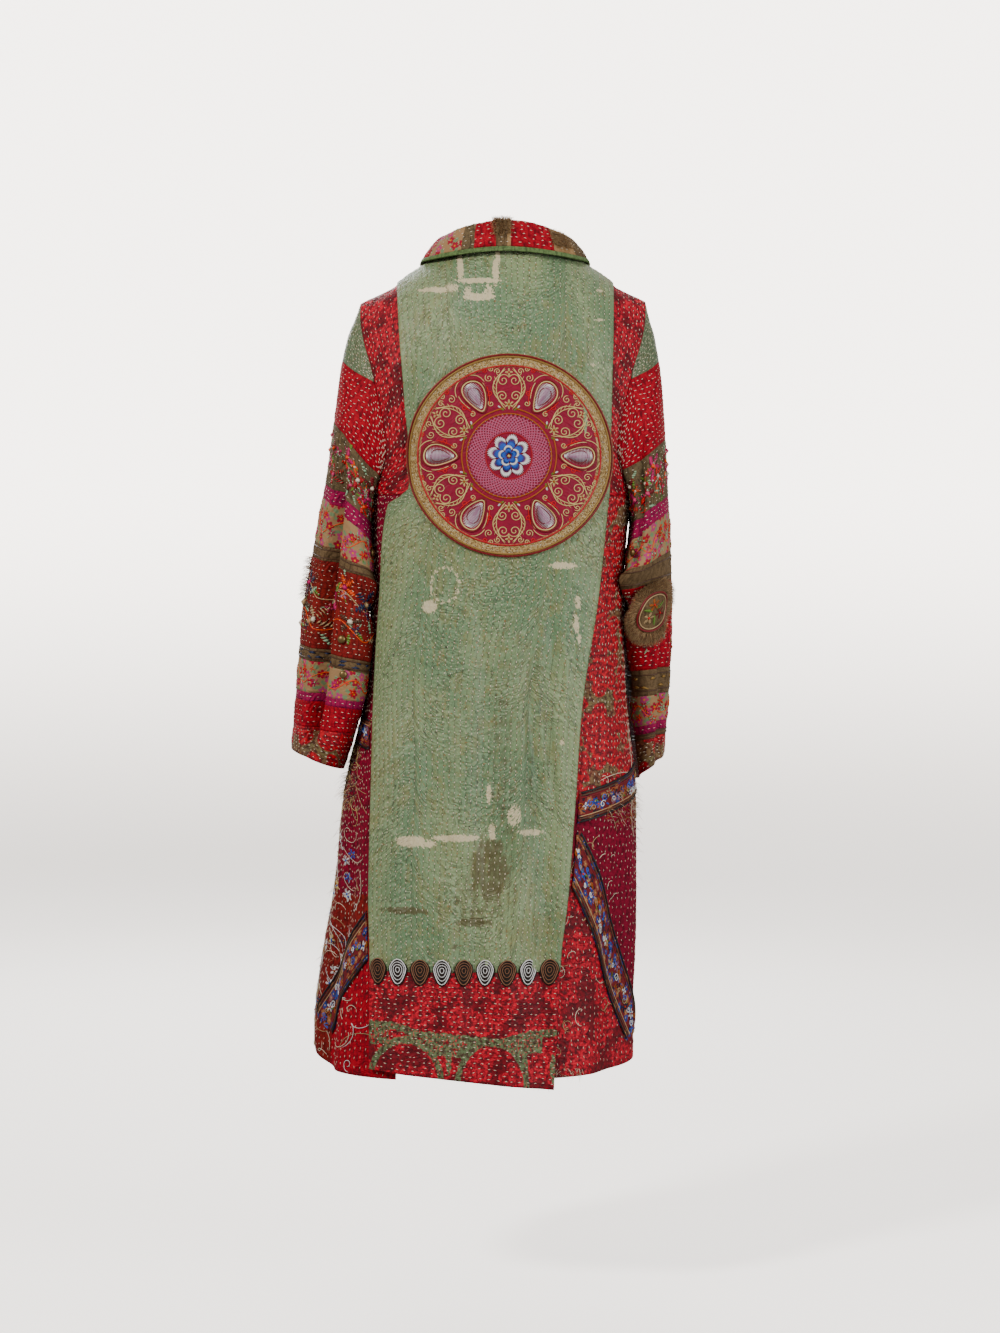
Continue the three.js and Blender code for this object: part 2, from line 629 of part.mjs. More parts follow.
function armholeCorner(side, index) {
  const last = UPPER_ROWS.length - 1;
  const facing = index <= last ? 1 : -1;
  const turn = (drop) => armholeTurn(side, facing, drop);
  const drop = rowDrop(turn, facing, index <= last ? index : 2 * last - index);
  const { place, direction } = onBody(turn(drop), drop);
  const around = index / (2 * last);
  const under = smooth((0.32 - Math.abs(around - 0.5)) / 0.12);
  const ring = outward((u, v) => sleeveRing(side, u, v), around, 0.05, -0.004 * side, 0.004);
  const hidden = smooth((0.16 - Math.abs(around - 0.5)) / 0.16);
  place.addScaledVector(direction, ARMPIT_LIFT * hidden);
  place.z += (WALL / 2) * hidden;
  direction.addScaledVector(ring, under).add(new THREE.Vector3(0, 0, -0.5 * hidden)).normalize();
  return { place, direction };
}

for (const side of [1, -1]) {
  const count = 2 * (UPPER_ROWS.length - 1);
  const corners = Array.from({ length: count + 1 }, (_, index) => armholeCorner(side, index));
  const [first, end] = [corners[0], corners.pop()];
  first.place.add(end.place).multiplyScalar(0.5);
  first.direction.add(end.direction).normalize();
  corners.forEach((corner, index) => {
    const along = corners[(index + 1) % count].place.clone().sub(corners.at(index - 1).place);
    corner.apart = along.cross(corner.direction).multiplyScalar(side).normalize();
  });
  armholes[side] = corners;
}

// A place on an armhole's edge, moved half a seam's gap towards the sleeve (+1) or the body (-1)
function armholeEdge(side, index, towards) {
  const corners = armholes[side];
  const i = Math.floor(index + 1e-9);
  const from = corners[i % corners.length];
  const to = corners[(i + 1) % corners.length];
  const blend = (key) => from[key].clone().lerp(to[key], index - i);
  const place = blend("place").addScaledVector(blend("apart").normalize(), (towards * SEAM_GAP) / 2);
  return { place, direction: blend("direction").normalize(), fixed: true };
}

function armhole(side, around) {
  return armholeEdge(side, around * armholes[side].length, 1);
}

// One ring of a sleeve, before folds: an oval between its outer and inner points.
function sleeveRing(side, around, share) {
  const table = side > 0 ? LEFT_SLEEVE : RIGHT_SLEEVE;
  const at = (column) => read(table, "share", column, share);
  const outer = new THREE.Vector3(side * at("outX"), at("outY"), -at("outDrop"));
  const inner = new THREE.Vector3(side * at("inX"), at("inY"), -at("inDrop"));
  const across = outer.clone().sub(inner);
  const angle = 2 * Math.PI * around;
  const ring = outer.add(inner).multiplyScalar(0.5).addScaledVector(across, Math.cos(angle) / 2);
  ring.y += at("depth") * Math.sin(angle);
  return ring;
}

// The sleeve starts at the armhole's own shape and eases into its rings.
function sleeveForm(side, around, share) {
  const turned = ((around % 1) + 1) % 1;
  const ring = sleeveRing(side, turned, share);
  const ease = (1 - smooth(share / 0.3)) ** 1.5;
  if (ease > 0) {
    const shift = armhole(side, turned).place.sub(sleeveRing(side, turned, 0));
    ring.addScaledVector(shift, ease);
  }
  return pressedOut(ring, share);
}

// A sleeve that would reach into the body is pressed out to lie beside it.
function pressedOut(point, share) {
  const drop = -point.z;
  const { centre, half, back, front, square } = section(drop);
  const beside = mix(SLEEVE_CLEARANCE, CUFF_CLEARANCE, smooth((drop - 520) / 70));
  const clearance = mix(2.4, beside, smooth(share / 0.12));
  const x = (point.x - centre) / (half + clearance);
  const y = point.y / ((point.y > 0 ? back : front) + clearance);
  const reach = (Math.abs(x) ** square + Math.abs(y) ** square) ** (1 / square);
  const below = smooth((drop - 250) / 70);
  if (reach >= 1 || below === 0) return point;
  const out = mix(1, 1 / reach, below);
  return new THREE.Vector3(centre + (point.x - centre) * out, point.y * out, point.z);
}

function sleeveFold(side, around, share) {
  let out = 0;
  for (const fold of SLEEVE_FOLDS.filter((f) => f.side === side)) {
    const down = (share - fold.top) / (fold.bottom - fold.top);
    const fade = smooth(down / 0.3) * smooth((1 - down) / 0.12);
    out += fold.depth * fade * bump((around - fold.around - fold.drift * down) / fold.half);
  }
  for (const fold of ELBOW_FOLDS.filter((f) => f.side === side)) {
    const along = bump((share - fold.share) / fold.half);
    out += fold.depth * along * bump((around - fold.around) / fold.spread);
  }
  return out;
}

// A place on a folded sleeve, lift outside the middle of its wall
function onSleeve(side, around, share, lift = 0) {
  if (share <= 0) return armhole(side, around);
  const form = (a, s) => sleeveForm(side, a, s);
  const direction = outward(form, around, share, 0.004 * -side, 0.004);
  const bare = form(around, share);
  const folded = bare.clone().addScaledVector(direction, sleeveFold(side, around, share));
  const place = pressedOut(folded, share).addScaledVector(direction, lift);
  return { place, direction };
}

function sleevePoint(side, { from, to, rows }, i, j) {
  const start = from > 0 ? from + BAND_GAP : 0;
  const point = onSleeve(side, i / SLEEVE_COLUMNS, mix(start, to - BAND_GAP, j / rows));
  return { ...point, fixed: true };
}

function sleeveBand(side, band) {
  return wallGeometry({
    columns: SLEEVE_COLUMNS,
    rows: band.rows,
    at: (i, j) => sleevePoint(side, band, i, j),
    ridge: RIDGE,
    coarse: 2,
    tube: true,
  });
}

// A place on the facets of whichever band lies at this share of the arm
function onBand(side, around, share, lift) {
  const band = SLEEVE_BANDS.find((b) => share <= b.to);
  const v = ((share - band.from) / (band.to - band.from)) * band.rows;
  const at = (i, j) => sleevePoint(side, band, i, j);
  return onFacets(at, SLEEVE_COLUMNS, band.rows, around * SLEEVE_COLUMNS, v, lift);
}

// The round appliqué: columns of cells between the bottom and top of the circle
function medallion() {
  const { x, drop, radius, columns, rows } = MEDALLION;
  const lift = (z) => flapLift(z) + WALL / 2 + RIDGE + APPLIQUE / 2 + 1.4;
  const at = (i, j) => {
    const angle = mix(radians(172), radians(8), i / columns);
    const across = x + radius * Math.cos(angle) / Math.cos(radians(8));
    const height = radius * Math.sin(angle);
    const z = drop + mix(-height, height, j / rows);
    return onBody(turnAt(across, z), z, lift(z));
  };
  return wallGeometry({ columns, rows, at, wall: APPLIQUE });
}

// One leaf patch on the border's seam: a drop shape that points down
function leaf(number) {
  const { count, width, height, drop, panel } = LEAVES;
  const columns = 8;
  const at = (i, j) => {
    const angle = mix(radians(170), radians(10), i / columns);
    const across = (number + 0.5) / count - (Math.cos(angle) * width) / 2 / panel;
    const top = -0.42 * height * Math.sin(angle);
    const point = 0.58 * height * Math.sin(angle) ** 1.6;
    const z = drop + mix(top, point, j / 2);
    const turn = mix(panelEdge(-1, z), panelEdge(1, z), across);
    return onBody(turn, z, flapLift(z) + WALL / 2 + RIDGE + APPLIQUE / 2 + 0.5);
  };
  return wallGeometry({ columns, rows: 2, at, wall: APPLIQUE });
}

// A woven border laid on a side panel, along a line between its two ends. It stops short of the
// back panel's edge, so that the panel hangs clear of it.
function border({ turn0, drop0, turn1, drop1, width }) {
  const columns = 16;
  const rows = 4;
  const side = Math.sign(turn0);
  const round = (turn1 - turn0) * DEGREE;
  const length = Math.hypot(round, drop1 - drop0);
  const lift = WALL / 2 + RIDGE + APPLIQUE / 2 + 1.03;
  const point = (s, w) => ({
    turn: turn0 + (round * s - (drop1 - drop0) * w) / length / DEGREE,
    drop: drop0 + ((drop1 - drop0) * s + round * w) / length,
  });
  const clear = ({ turn, drop }) => Math.abs(turn) > Math.abs(panelEdge(side, drop, -5));
  const at = (i, j) => {
    const w = (j / rows - 0.5) * width;
    let start = -width;
    while (!clear(point(start, w))) start += 0.5;
    const { turn, drop } = point(mix(start, length, i / columns), w);
    return onSide(side, turn, drop, lift);
  };
  return wallGeometry({ columns, rows, at, wall: APPLIQUE });
}

// The neckline, as turns of the neck: 0 at the centre back and 90 at the side of the neck
function neckline(turn) {
  const side = Math.sign(turn) || 1;
  const round = Math.abs(turn);
  const x = side * NECK_HALF * Math.sin(radians(Math.min(round, 90)));
  if (round <= 90) {
    const drop = BACK_NECK_DROP;
    return onBody(turnAt(x, drop), drop, flapLift(drop));
  }
  const across = mix(NECK_HALF, 22, (round - 90) / (COLLAR_END - 90));
  const drop = read(FRONT_NECK, "across", "drop", across);
  const front = turnAt(side * across, drop, -1);
  return onBody(front, drop, frontLift(front, drop));
}

// The collar's section at a turn of the neck, step by step from its seam to its free edge
function collarPoint(turn, step) {
  const round = Math.abs(turn);
  const toSide = smooth(round / 80);
  const toFront = smooth((round - 85) / 60);
  const at = (column) => {
    const back = read(COLLAR, "step", column + "Back", step);
    const side = read(COLLAR, "step", column + "Side", step);
    const front = read(COLLAR, "step", column + "Front", step);
    return mix(mix(back, side, toSide), front, toFront);
  };
  const seam = neckline(turn).place;
  const out = new THREE.Vector3(Math.sin(radians(turn)), Math.cos(radians(turn)), 0);
  const chest = new THREE.Vector3(Math.sign(turn) * 0.86, -0.12, -0.3).normalize();
  out.lerp(chest, toFront).normalize();
  const up = UP.clone().lerp(new THREE.Vector3(0, -0.92, 0.38), toFront).normalize();
  return seam.addScaledVector(out, at("out")).addScaledVector(up, at("up"));
}

function collarWall(from, to, rows, wall, lift) {
  const at = (i, j) => {
    const turn = mix(-COLLAR_END, COLLAR_END, i / COLLAR_COLUMNS);
    const step = mix(from, to, j / rows);
    const direction = outward((t, s) => collarPoint(t, s), turn, step, 0.6, 0.08);
    const place = collarPoint(turn, step).addScaledVector(direction, lift);
    return { place, direction };
  };
  return wallGeometry({ columns: COLLAR_COLUMNS, rows, at, wall });
}

// A turned button with a domed face, standing on a sleeve
function button({ side, around, share }) {
  const profile = [[0, 0], [0.45, 0], [0.5, 0.25], [1, 0.35], [0.95, 0.6], [0.6, 0.85], [0, 0.95]];
  const points = profile.map(([r, h]) => new THREE.Vector2(r * BUTTON_RADIUS, h * BUTTON_RADIUS));
  const geometry = new THREE.LatheGeometry(points, 14);
  geometry.rotateX(Math.PI / 2);
  const { place, direction } = onBand(side, around, share, WALL / 2 + RIDGE + 0.6);
  const turn = new THREE.Quaternion().setFromUnitVectors(UP, direction);
  geometry.applyQuaternion(turn);
  geometry.translate(place.x, place.y, place.z);
  return geometry;
}

// A round patch edged with fur, laid on a sleeve
function furPatch({ side, around, share, radius, height }) {
  const columns = 14;
  const rows = 4;
  const reach = (a, s) => {
    const ends = [-1, 1].map((sign) => onSleeve(side, around + sign * a, share + sign * s).place);
    return ends[0].distanceTo(ends[1]) / 2 / (a + s);
  };
  const perAround = reach(0.01, 0);
  const perShare = reach(0, 0.01);
  const at = (i, j) => {
    const angle = mix(radians(170), radians(10), i / columns);
    const a = around + (radius * Math.cos(angle)) / perAround;
    const s = share + (mix(-1, 1, j / rows) * radius * Math.sin(angle)) / perShare;
    return onBand(side, a, s, WALL / 2 + RIDGE + height / 2 + 2.1);
  };
  return wallGeometry({ columns, rows, at, wall: height });
}

add("back_panel", backPanel(), COLOURS.green);
add("back_border", backBorder(), COLOURS.red);
add("medallion", medallion(), COLOURS.gold, 0.6);
for (let number = 1; number <= LEAVES.count; number += 1) {
  add(`leaf_${number}`, leaf(number - 1), COLOURS.ink);
}
for (const [side, hand] of [[1, "left"], [-1, "right"]]) {
  add(`back_strip_${hand}`, backStrip(side), COLOURS.red);
  add(`side_${hand}`, sidePanel(side), COLOURS.crimson);
  add(`front_${hand}`, frontPanel(side), COLOURS.red);
  for (const band of SLEEVE_BANDS) {
    const colours = {
      cap: COLOURS.green, red_band: COLOURS.red, flower_band: COLOURS.olive,
      panel: COLOURS.crimson, lower_band: COLOURS.tan, cuff: COLOURS.red,
    };
    add(`sleeve_${hand}_${band.name}`, sleeveBand(side, band), colours[band.name]);
  }
}
for (const strip of BORDERS) add(strip.name, border(strip), COLOURS.indigo);
add("collar", collarWall(0, 6.55, 7, WALL, 0), COLOURS.tan);
add("collar_binding", collarWall(6.55, 7, 1, WALL, 0), COLOURS.green);
BUTTONS.forEach((place, i) => add(`button_${i + 1}`, button(place), COLOURS.brass, 0.35, 0.9));
add("fur_patch", furPatch(FUR_PATCH), COLOURS.fur, 0.95);

export default coat;
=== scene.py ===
"""The looks of a long patchwork coat of old quilted silk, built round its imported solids.

Sizes in the tables and functions are millimetres, as in the solids; meshes are made in metres.
A drop is a distance below the middle of the neck opening. A turn is the angle round the body,
0 at the centre back and positive towards the wearer's left.
"""

import math

import bpy
import numpy as np
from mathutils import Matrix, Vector


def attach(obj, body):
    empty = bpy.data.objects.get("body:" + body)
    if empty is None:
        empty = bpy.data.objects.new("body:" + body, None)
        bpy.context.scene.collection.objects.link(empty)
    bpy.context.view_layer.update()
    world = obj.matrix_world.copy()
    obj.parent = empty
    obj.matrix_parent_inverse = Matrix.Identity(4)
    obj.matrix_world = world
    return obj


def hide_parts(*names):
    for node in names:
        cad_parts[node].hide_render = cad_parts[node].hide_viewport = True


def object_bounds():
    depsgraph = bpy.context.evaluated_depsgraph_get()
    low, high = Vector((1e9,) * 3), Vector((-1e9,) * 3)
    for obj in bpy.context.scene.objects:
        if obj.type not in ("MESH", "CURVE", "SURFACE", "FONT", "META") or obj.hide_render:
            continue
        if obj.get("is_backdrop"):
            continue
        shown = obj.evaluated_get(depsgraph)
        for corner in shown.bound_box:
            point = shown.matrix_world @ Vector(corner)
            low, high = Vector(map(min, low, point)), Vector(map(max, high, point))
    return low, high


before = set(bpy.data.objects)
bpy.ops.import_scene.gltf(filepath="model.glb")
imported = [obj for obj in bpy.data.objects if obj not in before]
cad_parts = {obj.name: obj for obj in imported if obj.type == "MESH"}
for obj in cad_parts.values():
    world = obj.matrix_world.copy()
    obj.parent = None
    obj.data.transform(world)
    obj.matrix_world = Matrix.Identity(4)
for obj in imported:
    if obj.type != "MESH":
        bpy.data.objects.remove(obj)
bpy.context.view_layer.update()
rng = np.random.default_rng(11)

# The solids' driving dimensions
WALL = 2.2
LAP = 4.6
VENT_LIFT = 4.5
ARMPIT = 325
ARMPIT_LIFT = 3.2
BORDER_SEAM = 968
SHOULDER_ROUND = 130
SIDE_SEAM = 90
FRONT_GAP = 42
FRONT_GAP_HEM = 84
SLEEVE_CLEARANCE = 5.5
CUFF_CLEARANCE = 9.5
BACK_NECK_DROP = -6
NECK_HALF = 80
RIDGE_STEP = 1.5
KANTHA_PITCH = 7.0  # between two rows of running stitch


def columns(names, rows):
    """A table as named columns."""
    return dict(zip(names.split(), np.array(rows, float).T))


BODY = columns("drop left right back front square", [
    (-60, 206, 200, 108, 104, 2.5), (60, 206, 200, 112, 114, 2.5), (160, 202, 194, 119, 134, 2.6),
    (250, 191, 182, 119, 144, 2.8), (325, 182, 172, 115, 142, 2.9), (450, 184, 163, 112, 134, 3.0),
    (600, 192, 166, 121, 138, 2.9), (728, 220, 179, 134, 146, 2.7), (860, 235, 180, 146, 154, 2.5),
    (1000, 259, 174, 157, 162, 2.4), (1130, 269, 174, 168, 168, 2.4)])
SHOULDER = columns("across height", [
    (0, 28), (40, 23), (80, 6), (115, -14), (150, -37), (200, -61), (260, -92)])
FRONT_NECK = columns("across drop", [(14, 118), (45, 66), (80, -6)])
BACK_PANEL_EDGE = columns("drop left right", [
    (-30, 150, 148), (196, 136, 142), (318, 130, 139), (338, 156, 137), (467, 168, 124),
    (602, 176, 104), (737, 180, 94), (870, 182, 83), (950, 180, 73), (1130, 180, 63)])
ARMHOLE = columns("drop back front", [
    (20, 0.965, 0.965), (62, 0.965, 0.965), (100, 0.955, 0.93), (165, 0.885, 0.87),
    (250, 0.845, 0.83), (283, 0.885, 0.875), (309, 0.965, 0.965), (325, 1, 1)])
HEM = columns("turn drop", [
    (-180, 1092), (-90, 1090), (-60, 1108), (0, 1112), (60, 1106), (92, 1064), (180, 1086)])
FLAP_HEM = (1127, 1100)  # right and left
BODY_FOLDS = columns("turn drift top bottom half depth", [
    (13, -3, 400, 1060, 7, 5), (4, -5, 430, 1100, 6, -6), (-7, -6, 400, 1180, 7, 7),
    (-18, -7, 440, 1200, 7, -7), (30, -8, 640, 1250, 13, 6), (35, 5, 70, 330, 5, -4),
    (58, 4, 660, 1300, 11, -13), (-52, -4, 640, 1300, 13, -9), (-74, 2, 760, 1300, 11, 7),
    (112, 4, 560, 1300, 12, -10), (138, 2, 420, 1300, 13, 9), (-114, -2, 560, 1300, 12, -9),
    (-140, -3, 420, 1300, 13, 9)])
SLEEVES = {
    1: columns("share outX outY outDrop inX inY inDrop depth", [
        (0, 199, 0, 60, 182, 0, 325, 84), (0.12, 221, 0, 124, 188, 2, 350, 84),
        (0.25, 233, 0, 205, 182, 8, 384, 80), (0.4, 247, -2, 300, 176, 18, 424, 74),
        (0.55, 265, -4, 398, 172, 28, 470, 68), (0.7, 280, -4, 490, 173, 32, 535, 66),
        (0.85, 289, -2, 590, 184, 28, 612, 66), (1, 296, 0, 675, 224, 14, 702, 66)]),
    -1: columns("share outX outY outDrop inX inY inDrop depth", [
        (0, 193, 0, 60, 172, 0, 325, 84), (0.12, 211, -2, 135, 178, 4, 350, 84),
        (0.25, 219, -6, 215, 172, 8, 384, 80), (0.4, 225, -12, 310, 164, 14, 424, 76),
        (0.55, 230, -18, 405, 156, 16, 468, 72), (0.7, 232, -30, 500, 160, -10, 535, 68),
        (0.85, 229, -46, 600, 168, -40, 625, 66), (1, 223, -62, 688, 176, -66, 722, 64)]),
}
SLEEVE_FOLDS = [
    (1, 0.17, 0.02, 0.2, 1.02, 0.05, -13), (1, 0.3, 0, 0.3, 1.02, 0.09, 6),
    (1, 0.72, 0.03, 0.22, 0.9, 0.07, -7), (-1, 0.3, 0.03, 0.1, 0.5, 0.06, -6),
    (-1, 0.12, 0.03, 0.6, 1.02, 0.06, -6), (-1, 0.74, 0, 0.25, 0.95, 0.07, -7)]
ELBOW_FOLDS = [
    (1, 0.52, 0.06, 0.4, 0.2, 7), (1, 0.6, 0.05, 0.4, 0.2, -7), (-1, 0.5, 0.06, 0.34, 0.2, 13),
    (-1, 0.585, 0.045, 0.34, 0.2, -14), (-1, 0.78, 0.06, 0.3, 0.2, -5)]


# Small helpers
def mix(a, b, t):
    return a + (b - a) * t


def smooth(t):
    c = np.clip(t, 0, 1)
    return c * c * (3 - 2 * c)


def bump(t):
    return np.where(np.abs(t) < 1, (1 + np.cos(np.pi * np.clip(t, -1, 1))) / 2, 0)


def unit(v):
    return v / np.maximum(np.linalg.norm(v, axis=-1, keepdims=True), 1e-9)


def read(table, by, column, at):
    """One column of a table at a place between its rows, on a smooth curve through them."""
    x, y = table[by], table[column]
    n = len(x)
    at = np.clip(np.asarray(at, float), x[0], x[-1])
    i = np.clip(np.searchsorted(x, at, side="left") - 1, 0, n - 2)
    after, before = np.minimum(np.arange(n) + 1, n - 1), np.maximum(np.arange(n) - 1, 0)
    slope = (y[after] - y[before]) / (x[after] - x[before])
    step = x[i + 1] - x[i]
    t = (at - x[i]) / step
    return (y[i] + t * t * (3 - 2 * t) * (y[i + 1] - y[i])
            + t * (1 - t) ** 2 * step * slope[i] + t * t * (t - 1) * step * slope[i + 1])


def lattice(ix, iy, seed):
    value = np.sin(ix * 127.1 + iy * 311.7 + seed * 74.7) * 43758.5453
    return value - np.floor(value)


def noise(x, y, seed=0):
    """Smooth noise from 0 to 1 with features of size 1."""
    ix, iy = np.floor(x), np.floor(y)
    fx, fy = smooth(x - ix), smooth(y - iy)
    low = mix(lattice(ix, iy, seed), lattice(ix + 1, iy, seed), fx)
    high = mix(lattice(ix, iy + 1, seed), lattice(ix + 1, iy + 1, seed), fx)
    return mix(low, high, fy)


# The body
def section(drop):
    left, right = read(BODY, "drop", "left", drop), read(BODY, "drop", "right", drop)
    rest = [read(BODY, "drop", name, drop) for name in ("back", "front", "square")]
    return ((left - right) / 2, (left + right) / 2, *rest)


def turn_at(x, drop, facing=1, side=1):
    centre, half, _, _, square = section(drop)
    share = np.clip((x - centre) / half, -1, 1)
    across = np.abs(share)
    turn = np.degrees(np.arctan2(across, (1 - across**square) ** (1 / square)))
    if facing > 0:
        return np.sign(share) * turn
    return 180 - np.sign(share) * turn - (0 if side > 0 else 360)


def body_form(turn, drop):
    centre, half, back, front, square = section(drop)
    sin, cos = np.sin(np.radians(turn)), np.cos(np.radians(turn))
    scale = (np.abs(sin) ** square + np.abs(cos) ** square) ** (-1 / square)
    x = centre + half * scale * sin
    below = below_shoulder(x, drop)
    lean = np.arccos(np.clip(1 - below / SHOULDER_ROUND, 0, 1))
    y = np.where(cos > 0, back, front) * scale * cos * np.sin(lean)
    return np.stack([x, y, -drop + 0 * x], -1)


def outward(form, u, v, step_u, step_v):
    along_u = form(u + step_u, v) - form(u - step_u, v)
    along_v = form(u, v + step_v) - form(u, v - step_v)
    return unit(np.cross(along_u, along_v))


def body_fold(turn, drop):
    out = 0.0
    for k in range(len(BODY_FOLDS["turn"])):
        f = {name: column[k] for name, column in BODY_FOLDS.items()}
        down = (drop - f["top"]) / (f["bottom"] - f["top"])
        fade = smooth(down / 0.4) * smooth((1 - down) / 0.15)
        out = out + f["depth"] * fade * bump((turn - f["turn"] - f["drift"] * down) / f["half"])
    return out


def below_shoulder(x, drop):
    return drop + read(SHOULDER, "across", "height", np.abs(x))


def on_body(turn, drop, lift=0.0):
    turn, drop = np.broadcast_arrays(np.asarray(turn, float), np.asarray(drop, float))
    bare = body_form(turn, drop)
    x = np.abs(bare[..., 0])
    near = np.clip(1 - below_shoulder(x, drop) / RIDGE_STEP, 0, 1) * smooth((175 - x) / 25)
    direction = outward(body_form, turn, drop, 0.4, RIDGE_STEP)
    direction = unit(mix(direction, np.array([0, 0, 1.0]), near[..., None]))
    return bare + direction * (body_fold(turn, drop) + lift)[..., None], direction


def front_lift(turn, drop):
    """The fronts rise near the shoulder seam, to meet the back panel."""
    x = body_form(turn, drop)[..., 0]
    return LAP * (1 - smooth(below_shoulder(x, drop) / 40)) * smooth((156 - np.abs(x)) / 14)


def descent(turn_of, facing, bottom, rows):
    """Drops down a panel at even distances on the cloth, from its top edge to the bottom drop."""
    drop = turn_of(0.0) * 0.0
    for _ in range(14):
        x = np.abs(body_form(turn_of(drop), drop)[..., 0])
        neck = BACK_NECK_DROP if facing > 0 else read(FRONT_NECK, "across", "drop", x)
        ridge = -read(SHOULDER, "across", "height", x)
        drop = np.where(x < NECK_HALF, np.maximum(neck, ridge), ridge)
    height = read(SHOULDER, "across", "height", x)
    lean = np.maximum(np.arccos(np.clip(1 - (drop + height) / SHOULDER_ROUND, 0, 1)), 0.004)
    quarter = SHOULDER_ROUND * np.pi / 2
    start, end = SHOULDER_ROUND * lean, quarter + bottom - SHOULDER_ROUND + height
    t = start[:, None] + (end - start)[:, None] * rows[None, :]
    rounded = SHOULDER_ROUND * (1 - np.cos(t / SHOULDER_ROUND)) - height[:, None]
    return np.where(t < quarter, rounded, SHOULDER_ROUND - height[:, None] + t - quarter)


def armhole_turn(side, facing, drop):
    centre, half, *_ = section(drop)
    share = read(ARMHOLE, "drop", "back" if facing > 0 else "front", drop)
    return turn_at(centre + side * share * half, drop, facing, side)


def panel_edge(side, drop, lap=0.0):
    edge = read(BACK_PANEL_EDGE, "drop", "left" if side > 0 else "right", drop)
    return turn_at(side * (edge - lap), drop)


def hem_drop(turn):
    return read(HEM, "turn", "drop", turn)


def underlap(drop):
    return mix(9, 34, smooth((drop - 600) / 450))


def flap_lift(drop):
    return LAP + VENT_LIFT * smooth((drop - 680) / 420)


# The sleeves
def sleeve_ring(side, around, share):
    table = SLEEVES[side]
    get = {name: read(table, "share", name, share) for name in table if name != "share"}
    outer = np.stack([side * get["outX"], get["outY"], -get["outDrop"]], -1)
    inner = np.stack([side * get["inX"], get["inY"], -get["inDrop"]], -1)
    angle = 2 * np.pi * around
    swing = (get["depth"] * np.sin(angle))[..., None] * np.array([0, 1, 0])
    return (outer + inner) / 2 + (outer - inner) * (np.cos(angle) / 2)[..., None] + swing


def armhole_edge(side):
    """A dense loop of places and directions round an armhole, from the shoulder down the back."""
    loops = []
    shares = np.linspace(0, 1, 91)
    for facing in (1, -1):
        def turn_of(drop, facing=facing):
            return armhole_turn(side, facing, np.atleast_1d(drop).astype(float))
        drop = descent(turn_of, facing, ARMPIT, shares)[0]
        place, direction = on_body(armhole_turn(side, facing, drop), drop)
        around = shares / 2 if facing > 0 else 1 - shares / 2
        loops.append((around, place, direction))
    (a0, p0, d0), (a1, p1, d1) = loops
    around = np.concatenate([a0, a1[-2::-1]])
    place = np.concatenate([p0, p1[-2::-1]])
    direction = np.concatenate([d0, d1[-2::-1]])
    place[0] = place[-1] = (place[0] + place[-1]) / 2
    direction[0] = direction[-1] = unit(direction[0] + direction[-1])
    under = smooth((0.32 - np.abs(around - 0.5)) / 0.12)[:, None]
    hidden = smooth((0.16 - np.abs(around - 0.5)) / 0.16)[:, None]
    fixed = np.full_like(around, 0.05)
    ring = outward(lambda u, v: sleeve_ring(side, u, v), around, fixed, -0.004 * side, 0.004)
    place = place + direction * ARMPIT_LIFT * hidden + np.array([0, 0, WALL / 2]) * hidden
    direction = unit(direction + ring * under + np.array([0, 0, -0.5]) * hidden)
    return around, place, direction


EDGES = {side: armhole_edge(side) for side in (1, -1)}


def armhole(side, around):
    known, place, direction = EDGES[side]
    turned = np.mod(around, 1)
    pick = [np.stack([np.interp(turned, known, a[:, k]) for k in range(3)], -1) for a in (place, direction)]
    return pick[0], unit(pick[1])


def pressed_out(point, share):
    drop = -point[..., 2]
    centre, half, back, front, square = section(drop)
    beside = mix(SLEEVE_CLEARANCE, CUFF_CLEARANCE, smooth((drop - 520) / 70))
    clearance = mix(2.4, beside, smooth(share / 0.12))
    x = np.abs(point[..., 0] - centre) / (half + clearance)
    y = np.abs(point[..., 1]) / (np.where(point[..., 1] > 0, back, front) + clearance)
    reach = np.maximum((x**square + y**square) ** (1 / square), 1e-6)
    below = smooth((drop - 250) / 70)
    out = np.where(reach < 1, mix(1, 1 / reach, below), 1)
    return np.stack([centre + (point[..., 0] - centre) * out, point[..., 1] * out, point[..., 2]], -1)


def sleeve_form(side, around, share):
    turned = np.mod(around, 1)
    ring = sleeve_ring(side, turned, share)
    ease = ((1 - smooth(share / 0.3)) ** 1.5)[..., None]
    shift = armhole(side, turned)[0] - sleeve_ring(side, turned, share * 0)
    return pressed_out(ring + shift * ease, share)


SLEEVE_FOLD_DEPTH = 1.9  # the cloth's long folds, times the solids' depth


def sleeve_fold(side, around, share):
    out = 0.0
    for hand, middle, drift, top, bottom, half, depth in SLEEVE_FOLDS:
        if hand == side:
            down = (share - top) / (bottom - top)
            fade = smooth(down / 0.3) * smooth((1 - down) / 0.12)
            out = out + SLEEVE_FOLD_DEPTH * depth * fade * bump((around - middle - drift * down) / half)
    for hand, at, half, middle, spread, depth in ELBOW_FOLDS:
        if hand == side:
            out = out + depth * bump((share - at) / half) * bump((around - middle) / spread)
    return out


def on_sleeve(side, around, share, lift=0.0):
    around, share = np.broadcast_arrays(np.asarray(around, float), np.asarray(share, float))
    direction = outward(lambda a, s: sleeve_form(side, a, s), around, share, -0.004 * side, 0.004)
    place = sleeve_form(side, around, share)
    place = pressed_out(place + direction * sleeve_fold(side, np.mod(around, 1), share)[..., None], share)
    place = place + direction * np.asarray(lift)[..., None]
    edge, edge_direction = armhole(side, around)
    start = (share <= 1e-6)[..., None]
    return np.where(start, edge, place), np.where(start, edge_direction, direction)


